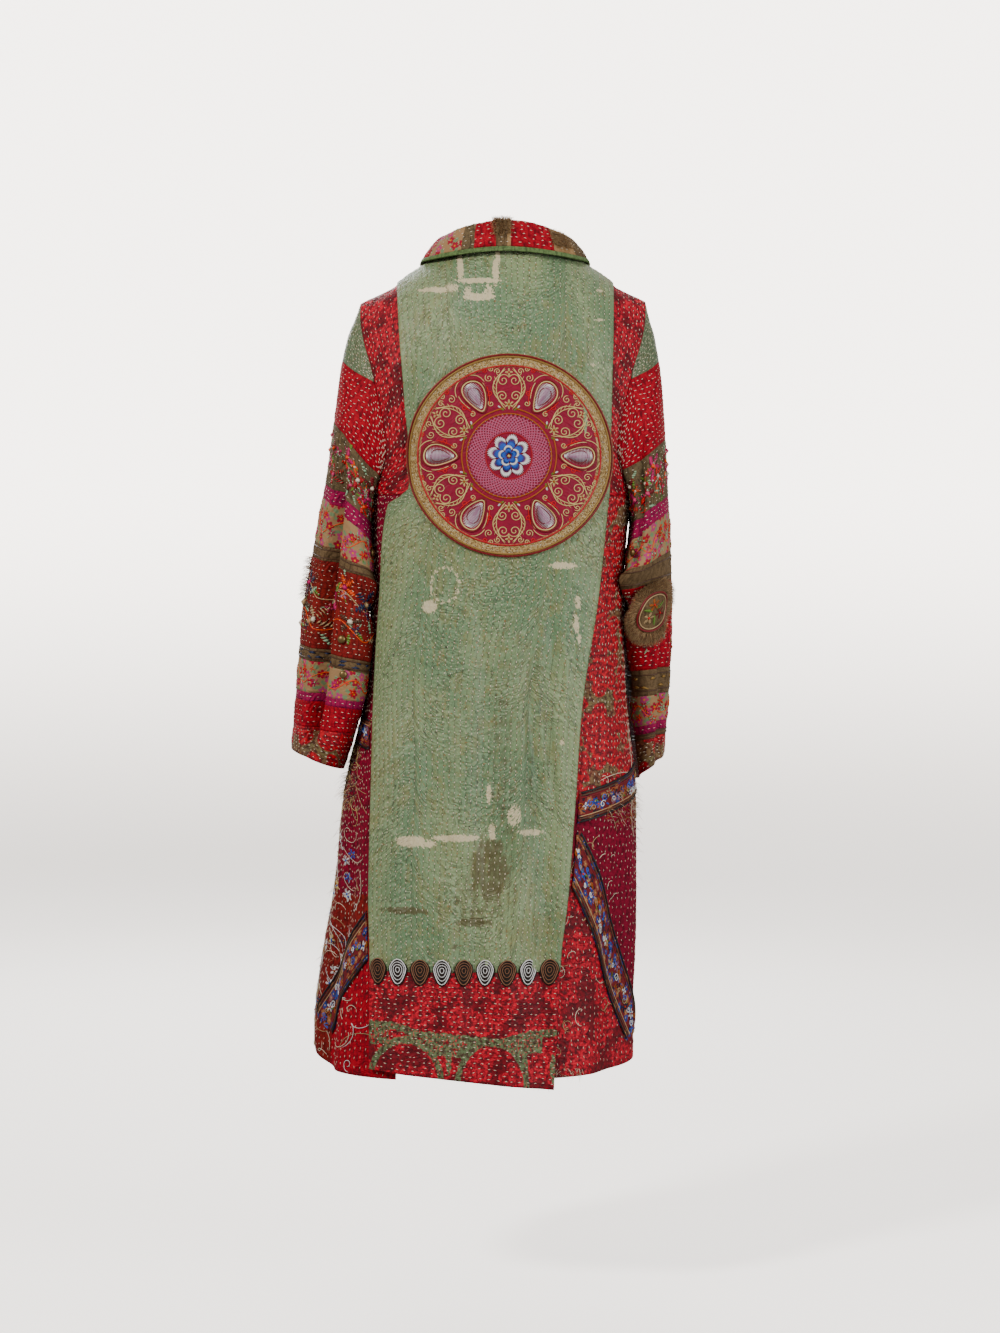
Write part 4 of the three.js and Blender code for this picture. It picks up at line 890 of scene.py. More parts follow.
# The strips beside the back panel, the sides and the fronts
GRIDS = {}
for side, hand in ((1, "left"), (-1, "right")):
    def strip_turn(u, drop, side=side):
        return mix(panel_edge(side, drop, underlap(drop)), armhole_turn(side, 1, drop), u)

    strip, _, _ = build(strip_turn, 1, np.linspace(0, 1, 110), lambda u: ARMPIT + 0 * u,
                        lambda turn, drop: 0 * drop, 40)
    edge_place, edge_direction = armhole(side, np.linspace(0, 0.5, 110))
    strip.place[-1], strip.direction[-1] = edge_place, edge_direction
    GRIDS["strip_" + hand] = strip
    cloth(f"back_strip_{hand}_cloth", strip, [MATERIALS["red_floral"]], quilted(strip, 9, 0.7))

    u = np.linspace(0, 1, 111)
    t = np.linspace(0, 1, 201)
    turn_hem = mix(panel_edge(side, 1100.0, underlap(1100.0)), side * SIDE_SEAM, u)
    drop = mix(ARMPIT, hem_drop(turn_hem)[:, None], t[None, :])
    turn = mix(panel_edge(side, drop, underlap(drop)), side * SIDE_SEAM, u[:, None])
    grid = Grid(*on_body(turn, drop))
    if side < 0:
        pick = np.where(drop < 735, 1, 0)
        line = mix(828, 1064, (-turn - 35) / 37)
        pick = np.where(drop > np.clip(line, 760, 1200), 2, pick)
        skins = [MATERIALS["crimson"], MATERIALS["red_green"], MATERIALS["red_floral"]]
    else:
        line = mix(925, 1050, (turn - 43) / 24)
        pick = np.where(drop > 868, 1, 0)
        pick = np.where((drop > np.clip(line, 900, 1200)) & (turn < 62), 2, pick)
        skins = [MATERIALS["crimson"], MATERIALS["rust"], MATERIALS["red_kantha"]]
    GRIDS["side_" + hand] = grid
    cloth(f"side_{hand}_cloth", grid, skins, quilted(grid, 27, 0.6, seed=5), pick=pick)

    def front_turn(u, drop, side=side):
        edge = mix(FRONT_GAP, FRONT_GAP_HEM, drop / 1100) / 2
        armside = np.where(drop < ARMPIT, armhole_turn(side, -1, np.minimum(drop, ARMPIT)), side * SIDE_SEAM)
        return mix(armside, turn_at(side * edge, drop, -1, side), u)

    u = np.linspace(0, 1, 43)
    upper, _, _ = build(front_turn, -1, np.linspace(0, 1, 50), lambda u: ARMPIT - 0.01 + 0 * u,
                        front_lift, 42)
    hem = hem_drop(front_turn(u, np.full_like(u, 1080.0)))
    drop = mix(ARMPIT, hem[:, None], np.linspace(0, 1, 96)[None, 1:])
    low_place, low_direction = on_body(front_turn(u[:, None], drop), drop)
    place = np.concatenate([upper.place, low_place], 1)
    direction = np.concatenate([upper.direction, low_direction], 1)
    edge_place, edge_direction = armhole(side, np.linspace(1, 0.5, 50))
    place[0, :50], direction[0, :50] = edge_place, edge_direction
    grid = Grid(place, direction)
    GRIDS["front_" + hand] = grid
    cloth(f"front_{hand}_cloth", grid, [MATERIALS["red_kantha"]], quilted(grid, 20, 0.3, seed=9))

# The bands of each sleeve: material, then the drops of its lower edge outside and inside the arm
BANDS = {
    1: [("green", 139, 196), ("red_kantha", 224, 300), ("olive", 308, 366), ("magenta", 326, 394),
        ("tan_floral", 388, 434), ("brown", 408, 446), ("rust", 530, 556), ("brown", 548, 572),
        ("tan_floral", 592, 610), ("magenta", 604, 620), ("red_kantha", 640, 652), ("red_green", 0, 0)],
    -1: [("green", 139, 190), ("red_kantha", 247, 292), ("olive", 324, 366), ("magenta", 345, 392),
         ("tan_floral", 400, 434), ("brown", 440, 456), ("red_kantha", 562, 568), ("brown", 598, 604),
         ("tan_floral", 636, 648), ("magenta", 648, 660), ("brown", 656, 668), ("red_green", 0, 0)],
}
ARM = 640  # length of a sleeve
THINNEST = 0.002  # share of the arm below which a band ends
BAND_GRIDS = {}
for side, hand in ((1, "left"), (-1, "right")):
    around = np.linspace(-0.5, 0.5, 161)
    shares = np.linspace(0, 1, 241)
    drops = -on_sleeve(side, around[:, None], shares[None, :])[0][..., 2]
    drops = np.maximum.accumulate(drops, 1) + np.arange(241) * 1e-6
    weight = (1 - np.cos(2 * np.pi * around)) / 2
    start = np.zeros_like(around)
    for number, (skin, outside, inside) in enumerate(BANDS[side]):
        if outside:
            line = mix(outside, inside, weight)
            end = np.array([np.interp(line[k], drops[k], shares) for k in range(len(around))])
        else:
            end = np.ones_like(around)
        end = np.where(end - start < THINNEST, start, end)
        covered = np.flatnonzero(end > start)
        covered = np.arange(covered[0], covered[-1] + 1)
        high = float(np.max(end - start)) * ARM
        rows = np.linspace(0, 1, spaced(high, 3.4) + 1)
        share = (start[:, None] + (end - start)[:, None] * rows[None, :])[covered]
        grid = Grid(*on_sleeve(side, around[covered, None], share))
        BAND_GRIDS[side, number] = (grid, around[covered], share)
        relief = quilted(grid, max(2, spaced(high, KANTHA_PITCH)), 0.45, "s", seed=number)
        relief = relief * np.clip((end - start)[covered] * ARM / 12, 0, 1)[:, None]
        cloth(f"sleeve_{hand}_{number + 1}_{skin}", grid, [MATERIALS[skin]], relief)
        start = end


# Small raised work: cords, stitches and petals
class Heap:
    """Many small closed shapes gathered into one mesh."""

    def __init__(self):
        self.verts, self.faces, self.count = [], {}, 0

    def add(self, verts, *faces):
        for group in faces:
            self.faces.setdefault(group.shape[-1], []).append(group.reshape(-1, group.shape[-1]) + self.count)
        verts = verts.reshape(-1, 3)
        self.verts.append(verts)
        self.count += len(verts)

    def make(self, name, material):
        faces = [np.concatenate(groups) for groups in self.faces.values()]
        return mesh_object(name, np.concatenate(self.verts), faces, [material])


def add_lozenges(heap, centre, along, normal, length, width, height, depth=0.5):
    """Stitches: each an eight-faced lozenge that lies along a direction on the cloth."""
    n = len(centre)
    side = unit(np.cross(normal, along))
    length, width, height = (np.broadcast_to(v, n)[:, None] for v in (length, width, height))
    shallow = 0.25 * height
    corners = np.stack([
        centre - along * length / 2, centre + side * width / 2 + normal * shallow,
        centre + along * length / 2, centre - side * width / 2 + normal * shallow,
        centre + normal * height, centre - normal * depth], 1)
    ring = [(0, 1), (1, 2), (2, 3), (3, 0)]
    tris = np.array([(b, a, 4) for a, b in ring] + [(a, b, 5) for a, b in ring])
    heap.add(corners, np.arange(n)[:, None, None] * 6 + tris[None])


def add_cord(heap, centre, normal, radius, sides=5, flat=1.0, closed_loop=False):
    """A cord along a line of places on the cloth, with pointed ends or closed to a loop."""
    centre, normal = np.asarray(centre, float), np.asarray(normal, float)
    n = len(centre)
    ahead, behind = np.roll(centre, -1, 0), np.roll(centre, 1, 0)
    if not closed_loop:
        ahead[-1], behind[0] = centre[-1], centre[0]
    along = unit(ahead - behind)
    side = unit(np.cross(normal, along))
    up = np.cross(along, side)
    radius = np.broadcast_to(radius, n).astype(float).copy()
    if not closed_loop:
        radius[0] *= 0.25
        radius[-1] *= 0.25
    turn = 2 * np.pi * np.arange(sides) / sides
    ring = (side[:, None] * np.cos(turn)[None, :, None] + up[:, None] * np.sin(turn)[None, :, None] * flat)
    verts = centre[:, None] + ring * radius[:, None, None]
    index = np.arange(n * sides).reshape(n, sides)
    steps = n if closed_loop else n - 1
    a = index[np.arange(steps)]
    b = index[(np.arange(steps) + 1) % n]
    quads = np.stack([a, np.roll(a, -1, 1), np.roll(b, -1, 1), b], -1)[..., ::-1]
    groups = [quads]
    if not closed_loop:
        groups.append(np.stack([index[0], index[-1][::-1]]))
    heap.add(verts, *groups)


# Pieces that lie on the body, in millimetres across and down from a middle
def on_flap(x, drop, lift):
    """A place outside the back panel, x to the wearer's left."""
    x, drop = np.broadcast_arrays(np.asarray(x, float), np.asarray(drop, float))
    turn = turn_at(x, drop)
    return on_body(turn, drop, flap_lift(drop) + lift)


PATCH_WALL = 1.6
MEDALLION = {"x": -5, "drop": 272, "radius": 137}
FLAT_TOP = WALL / 2 + 0.75
MEDALLION_LIFT = FLAT_TOP + 1.2


def on_medallion(x, y, lift=0.8):
    """A place on the round patch: x to the wearer's left and y up from its middle."""
    return on_flap(MEDALLION["x"] + x, MEDALLION["drop"] - y, MEDALLION_LIFT + lift)


def disc_grid(radius, columns_, rows_, at, end=3):
    angle = np.radians(np.linspace(180 - end, end, columns_ + 1))
    x = radius * np.cos(angle) / math.cos(math.radians(end))
    y = radius * np.sin(angle)
    share = np.linspace(-1, 1, rows_ + 1)
    return Grid(*at(x[:, None] + 0 * share[None], -y[:, None] * share[None]))


medallion_grid = disc_grid(MEDALLION["radius"], 90, 60, lambda x, y: on_medallion(x, y, 0.0))
rim_x = medallion_grid.place[..., 0] - MEDALLION["x"]
rim_y = -medallion_grid.place[..., 2] - MEDALLION["drop"]
rim = np.hypot(rim_x, rim_y) / MEDALLION["radius"]
cloth("medallion_ground", medallion_grid, [MATERIALS["crimson_gold"]], 0.0, wall=PATCH_WALL, coarse=3,
      marks={"rim": rim})

LEAVES = {"count": 9, "width": 27, "height": 35, "drop": 966, "panel": 272}
leaf_grids = []
for number in range(LEAVES["count"]):
    angle = np.radians(np.linspace(176, 4, 25))
    across = (number + 0.5) / LEAVES["count"] - np.cos(angle) * LEAVES["width"] / 2 / LEAVES["panel"]
    top = -0.42 * LEAVES["height"] * np.sin(angle)
    point = 0.58 * LEAVES["height"] * np.sin(angle) ** 1.6
    drop = LEAVES["drop"] + mix(top[:, None], point[:, None], np.linspace(0, 1, 17)[None])
    turn = flap_turn(across[:, None], drop)
    grid = Grid(*on_body(turn, drop, flap_lift(drop) + FLAT_TOP + 0.5))
    leaf_grids.append(grid)
    cloth(f"leaf_{number + 1}_patch", grid, [MATERIALS["ink"]], 0.0, wall=PATCH_WALL, coarse=2)

BORDERS = [
    ("border_right_upper", -34, 748, -78, 712, 40), ("border_right_lower", -35, 828, -72, 1064, 44),
    ("border_left_upper", 49, 655, 74, 645, 38), ("border_left_lower", 43, 925, 67, 1050, 48)]
DEGREE = 3.4
border_grids = {}
for name, turn0, drop0, turn1, drop1, width in BORDERS:
    side = np.sign(turn0)
    round_, down = (turn1 - turn0) * DEGREE, drop1 - drop0
    length = math.hypot(round_, down)

    def point(s, w, round_=round_, down=down, length=length, turn0=turn0, drop0=drop0):
        return turn0 + (round_ * s - down * w) / length / DEGREE, drop0 + (down * s + round_ * w) / length

    w = np.linspace(-width / 2, width / 2, 25)
    start = np.full(25, -float(width))
    for _ in range(400):
        turn, drop = point(start, w)
        inside = np.abs(turn) <= np.abs(panel_edge(side, drop, -5))
        start = np.where(inside, start + 0.5, start)
    s = mix(start[None], length, np.linspace(0, 1, spaced(length, 3) + 1)[:, None])
    turn, drop = point(s, w[None])
    grid = Grid(*on_body(turn, drop, FLAT_TOP + 0.8))
    border_grids[name] = (grid, s, w)
    cloth(name + "_braid", grid, [MATERIALS["navy"]], 0.0, wall=PATCH_WALL, coarse=3)

# The collar and its binding
COLLAR = columns("step outBack upBack outSide upSide outFront upFront", [
    (0, 0, 2.2, 0, 2.4, 0, 2.6), (1, 1, 16, -1, 9, 3, 9), (2, 3, 30, -1, 16.5, 7, 13),
    (3, 7.5, 38, 2.5, 21, 13, 15), (4, 13, 36, 10.5, 18, 21, 14), (5, 16, 25, 19.5, 9, 32, 12),
    (6, 17, 11, 28.5, -3, 44, 10), (7, 17, -3, 36, -14.5, 56, 8.5)])
COLLAR_END = 158


def neckline(turn):
    side = np.where(turn < 0, -1, 1)
    away = np.abs(turn)
    x = side * NECK_HALF * np.sin(np.radians(np.minimum(away, 90)))
    level = BACK_NECK_DROP + 0 * x
    back_place = on_body(turn_at(x, level), level, flap_lift(level))[0]
    across = mix(NECK_HALF, 22, (np.maximum(away, 90) - 90) / (COLLAR_END - 90))
    drop = read(FRONT_NECK, "across", "drop", across)
    turns = [turn_at(across * k, drop, -1, k) for k in (1, -1)]
    front = [on_body(turn, drop, front_lift(turn, drop))[0] for turn in turns]
    front_place = np.where((side > 0)[..., None], front[0], front[1])
    return np.where((away <= 90)[..., None], back_place, front_place)


def collar_place(turn, step):
    turn, step = np.broadcast_arrays(np.asarray(turn, float), np.asarray(step, float))
    away = np.abs(turn)
    to_side, to_front = smooth(away / 80), smooth((away - 85) / 60)

    def at(name):
        back_, side_, front_ = (read(COLLAR, "step", name + end, step) for end in ("Back", "Side", "Front"))
        return mix(mix(back_, side_, to_side), front_, to_front)

    out = np.stack([np.sin(np.radians(turn)), np.cos(np.radians(turn)), 0 * turn], -1)
    chest = np.stack([np.where(turn < 0, -1, 1) * 0.86, -0.12 + 0 * turn, -0.3 + 0 * turn], -1)
    out = unit(mix(out, unit(chest), to_front[..., None]))
    sewn = 2.4 * (1 - smooth(step / 0.5))  # its seam is turned in at the neckline
    up = unit(mix(np.array([0, 0, 1.0]), np.array([0, -0.92, 0.38]), to_front[..., None]))
    return neckline(turn) + out * at("out")[..., None] + up * (at("up") - sewn)[..., None]


def collar_grid(low, high, rows_, columns_=220):
    turn = np.linspace(-COLLAR_END, COLLAR_END, columns_ + 1)[:, None]
    step = np.linspace(low, high, rows_ + 1)[None]
    turn, step = np.broadcast_arrays(turn, step)
    direction = outward(collar_place, turn, step, 0.6, 0.08)
    return Grid(collar_place(turn, step), direction), turn


# The fall's patches, from the right end to the left: up to this turn, in this silk
COLLAR_PATCHES = [
    (-95, "red_kantha"), (-60, "brown"), (-40, "tan"), (-5, "red_kantha"), (-1.5, "tan"), (6, "brown"),
    (24, "red_kantha"), (34, "olive"), (66, "tan_floral"), (180, "red_kantha")]
collar, collar_turn = collar_grid(0, 6.55, 40)
skins = list(dict.fromkeys(skin for _, skin in COLLAR_PATCHES))
pick = np.zeros(collar_turn.shape, int)
for limit, skin in reversed(COLLAR_PATCHES):
    pick = np.where(collar_turn < limit, skins.index(skin), pick)
cloth("collar_cloth", collar, [MATERIALS[s] for s in skins], quilted(collar, 30, 0.3), pick=pick)
binding = collar_grid(6.55, 7, 8)[0]
bulge = 0.5 * np.sin(np.linspace(0, np.pi, 9))[None] * np.ones((221, 1))
cloth("collar_binding_cloth", binding, [MATERIALS["green_plain"]], bulge)


# The studs and the fur-edged patch on the sleeves
def brass():
    s = Shader("brass")
    colour = s.mix(s.noise(300, 3), "8c7448", "54422c")
    return s.finish(colour, 0.4, None, 0.5, 0.8)


MATERIALS["brass"] = brass()
BUTTON_RADIUS = 5.5
BUTTONS = [(1, 0.385, 0.385), (1, 0.27, 0.71), (1, 0.285, 0.79), (-1, 0.36, 0.4)]
for number, (side, around, share) in enumerate(BUTTONS):
    place, direction = on_sleeve(side, around, share, WALL / 2 + 1.1)
    heap = Heap()
    profile = BUTTON_RADIUS * np.array([
        (0, 0), (0.45, 0), (0.5, 0.25), (1, 0.35), (0.95, 0.6), (0.6, 0.85), (0, 0.95)])
    ring = np.arange(20) * np.pi / 10
    side_way = unit(np.cross(direction, [0.0, 0.0, 1.0]))
    up_way = np.cross(side_way, direction)
    round_way = side_way * np.cos(ring)[None, :, None] + up_way * np.sin(ring)[None, :, None]
    verts = place + profile[:, None, :1] * round_way + profile[:, None, 1:] * direction
    body = verts[1:-1]
    heap.verts, heap.count = [np.concatenate([body.reshape(-1, 3), verts[0, :1], verts[-1, :1]])], 102
    index = np.arange(100).reshape(5, 20)
    after = np.roll(index, -1, 1)
    quads = np.stack([index[:-1], after[:-1], after[1:], index[1:]], -1)
    low = np.stack([after[0], index[0], np.full(20, 100)], -1)
    high = np.stack([index[-1], after[-1], np.full(20, 101)], -1)
    heap.faces = {4: [quads.reshape(-1, 4)], 3: [low, high]}
    heap.make(f"button_{number + 1}_stud", MATERIALS["brass"])

FUR = {"side": -1, "around": 0.225, "share": 0.645, "radius": 40, "height": 5}


def on_fur_patch(x, y, lift):
    side, around, share = FUR["side"], FUR["around"], FUR["share"]
    ends = [on_sleeve(side, around + s * 0.01, share)[0] for s in (-1, 1)]
    per_around = np.linalg.norm(ends[0] - ends[1]) / 0.02
    ends = [on_sleeve(side, around, share + s * 0.01)[0] for s in (-1, 1)]
    per_share = np.linalg.norm(ends[0] - ends[1]) / 0.02
    return on_sleeve(side, around + x / per_around, share + y / per_share, lift)


fur_grid = disc_grid(FUR["radius"], 40, 30, lambda x, y: on_fur_patch(x, y, WALL / 2 + 3.6), 6)
cloth("fur_patch_ground", fur_grid, [MATERIALS["brown"]], 0.0, wall=5, coarse=3)

# Running stitch, satin stitch, couched cords and loose threads
THREAD_COLOURS = {
    "cream": "d8cbb4", "pale_gold": "ccb47c", "gold": "8c6c3c", "crimson": "a01228", "scarlet": "c41a20",
    "magenta": "b01c5c", "pink": "c04468", "orange": "d2501a", "mint": "8fae8c", "leaf": "5c7c30", "navy": "1c2440",
    "blue": "3a5cb0", "white": "dcdad8", "lilac": "9a7488", "ink": "120e0e", "brown": "4a3222", "fox": "7c5c40",
    "sand": "a88c68", "russet": "9c5424", "umber": "7c5640", "rose": "b25a72", "ruby": "6c0c1c"}


def thread(name, code):
    s = Shader("thread_" + name)
    metallic = 0.2 if "gold" in name else 0.0
    return s.finish(code, 0.5, None, 0.2, metallic)


HEAPS = {}


def heap_of(piece, colour):
    return HEAPS.setdefault((piece, colour), Heap())


def kantha(grid, rows, piece="stitches", colour="cream", along="t", pitch=9.5, length=4.2, width=1.15, lean=0.0):
    """Rows of running stitch in the troughs between a quilted grid's ridges."""
    ni, nj = grid.size
    down = along == "t"
    for row in range(1, rows):
        line = row / rows * (ni if down else nj)
        reach = (grid.t[int(line)] if down else grid.s[:, int(line)] - grid.s[0, int(line)]) * 1000
        count = int(reach[-1] / pitch)
        if count < 1:
            continue
        far = (np.arange(count) + 0.5 + rng.uniform(-0.3, 0.3, count)) * pitch
        step = np.interp(far, reach, np.arange(len(reach)))
        off = rng.normal(0, 0.12, count) + line
        i, j = (off, step) if down else (step, off)
        di, dj = (lean, 0.5) if down else (0.5, lean)
        place, normal = grid.top(i, j, 0.1)
        way = unit(grid.top(i + di, j + dj, 0.1)[0] - grid.top(i - di, j - dj, 0.1)[0])
        way = unit(way + np.cross(normal, way) * rng.normal(0, 0.14, count)[:, None])
        size = length * rng.uniform(0.7, 1.25, count)
        add_lozenges(heap_of(piece, colour), place, way, normal, size, width, 0.55)


def satin(spot, x, y, angle, length, width, heap, count=5, height=0.8, slant=0.35):
    """One petal or leaf, of stitches laid side by side across its length."""
    share = (np.arange(count) + 0.5) / count
    half = (width / 2 * np.sin(np.pi * share) ** 0.6)[:, None]
    along, across = np.array([math.cos(angle), math.sin(angle)]), np.array([-math.sin(angle), math.cos(angle)])
    middle = np.array([x, y]) + along * (share * length)[:, None]
    ends = [middle + side * half * (across - along * slant) for side in (-1, 1)]
    (a, normal), (b, _) = (spot(end[:, 0], end[:, 1], 0.1) for end in ends)
    size = np.linalg.norm(b - a, axis=-1)
    add_lozenges(heap, (a + b) / 2, unit(b - a), normal, size * 1.1, length / count * 1.3, height)


def flower(spot, x, y, radius, colour, heart, piece="flowers", petals=5, turn=0.0, count=4):
    for k in range(petals):
        angle = turn + 2 * np.pi * k / petals
        root = (x + 0.22 * radius * math.cos(angle), y + 0.22 * radius * math.sin(angle))
        satin(spot, *root, angle, 0.78 * radius, 2.1 * radius / petals * 1.5, heap_of(piece, colour), count)
    knot(spot, x, y, 0.26 * radius, heap_of(piece, heart))


def knot(spot, x, y, size, heap):
    place, normal = spot(np.array([x]), np.array([y]), 0.3)
    way = unit(np.cross(normal, [[0.3, 0.2, 1.0]]))
    add_lozenges(heap, place, way, normal, 2 * size, 2 * size, size * 0.9)
    turned = unit(way + np.cross(normal, way))
    add_lozenges(heap, place, turned, normal, 2 * size, 2 * size, size * 0.8)


def cord_on(spot, points, radius, heap, lift=0.25, sides=5, closed_loop=False):
    points = np.asarray(points, float)
    place, normal = spot(points[:, 0], points[:, 1], lift + radius * 0.4)
    add_cord(heap, place, normal, radius, sides, 0.8, closed_loop)


def spiral(x, y, radius, turns, start, hand=1, count=36, inner=0.12):
    share = np.linspace(0, 1, count)
    angle = start + hand * 2 * np.pi * turns * (1 - share)
    reach = radius * mix(inner, 1, share)
    return np.stack([x + reach * np.cos(angle), y + reach * np.sin(angle)], -1)


def arc(x, y, radius, start, end, count=14):
    angle = np.linspace(start, end, count)
    return np.stack([x + radius * np.cos(angle), y + radius * np.sin(angle)], -1)


THIRD_TURN = 2.094


def add_hairs(heap, root, way, length, radius, droop, wave=0.25):
    """Fur or frayed thread: each hair has three sides, two bends and a point."""
    n = len(root)
    length = np.broadcast_to(length, n)[:, None]
    side = unit(np.cross(way, rng.normal(0, 1, (n, 3))))
    other = np.cross(way, side)
    sway = (side * rng.normal(0, wave, (n, 1)) + np.array([0, 0, -1.0]) * droop)
    levels = []
    for share in (0.0, 0.4, 0.75):
        middle = root + way * length * share + sway * length * share**2
        size = radius * (1 - 0.7 * share)
        for angle in (0, THIRD_TURN, 4.189):
            levels.append(middle + (side * math.cos(angle) + other * math.sin(angle)) * size)
    tip = root + way * length + sway * length
    verts = np.stack([*levels, tip], 1)
    quads = [(a + k, a + (k + 1) % 3, a + 3 + (k + 1) % 3, a + 3 + k) for a in (0, 3) for k in range(3)]
    tris = [(6 + k, 6 + (k + 1) % 3, 9) for k in range(3)] + [(2, 1, 0)]
    base = np.arange(n)[:, None, None] * 10
    heap.add(verts, base + np.array(quads)[None], base + np.array(tris)[None])


def hairs_on(spot, x, y, outward_x, outward_y, length, radius, heap, rise=0.5, droop=0.15, wave=0.25):
    place, normal = spot(x, y, -0.2)
    ahead, _ = spot(x + outward_x, y + outward_y, -0.2)
    way = unit(unit(ahead - place) + normal * rise + rng.normal(0, 0.22, place.shape))
    add_hairs(heap, place, way, length, radius, droop, wave)


# Cream running stitch on every quilted piece
kantha(back, BACK_ROWS, piece="back_stitches", pitch=8.4, length=3.4, width=1.3)
kantha(border, 22, piece="back_stitches", along="s", pitch=11)
for hand in ("left", "right"):
    kantha(GRIDS["strip_" + hand], 9, piece="side_stitches", pitch=10)
    kantha(GRIDS["side_" + hand], 27, piece="side_stitches", pitch=11, lean=0.15)
    kantha(GRIDS["front_" + hand], 20, piece="front_stitches", pitch=17)
QUIET = ("brown", "tan_floral")  # bands with no running stitch
for (side, number), (grid, around, share) in BAND_GRIDS.items():
    skin = BANDS[side][number][0]
    rows = max(2, spaced(float(grid.t[:, -1].max()) * 1000, KANTHA_PITCH))
    if skin not in QUIET:
        kantha(grid, rows, piece="sleeve_stitches", along="s", pitch=10 if skin != "olive" else 16)
kantha(collar, 15, piece="collar_stitches", along="s", pitch=12)

# The round patch: a six-fold design of gold scrolls, drops and a lattice
def round_spot(x, y, lift=0.0):
    return on_medallion(np.asarray(x, float), np.asarray(y, float), 0.8 + lift)


def inlay(colour):
    return heap_of("medallion", colour)


def turned(points, angle):
    c, s = math.cos(angle), math.sin(angle)
    return np.asarray(points) @ np.array([[c, s], [-s, c]])


GOLD, RIM = inlay("pale_gold"), inlay("gold")
for radius, colour, size in ((135.2, "ruby", 1.3), (132.4, "gold", 1.3), (120.5, "crimson", 1.2)):
    cord_on(round_spot, arc(0, 0, radius, 0, 2 * np.pi, 161)[:-1], size, inlay(colour), 0.1, 5, True)
around = np.linspace(0, 2 * np.pi, 900, endpoint=False)
for radius in np.arange(121.5, 131.5, 1.7):
    tilt = around + rng.uniform(0, 0.02)
    place, normal = round_spot(radius * np.cos(tilt), radius * np.sin(tilt), 0.1)
    ahead, _ = round_spot(radius * np.cos(tilt + 0.01), radius * np.sin(tilt + 0.01), 0.1)
    way = unit(unit(ahead - place) + rng.normal(0, 0.25, place.shape))
    keep = rng.random(900)
    for heap, low, high in ((GOLD, 0, 0.24), (RIM, 0.24, 0.4), (inlay("cream"), 0.4, 0.5)):
        some = (keep >= low) & (keep < high)
        add_lozenges(heap, place[some], way[some], normal[some], 3.4, 0.9, 0.6)

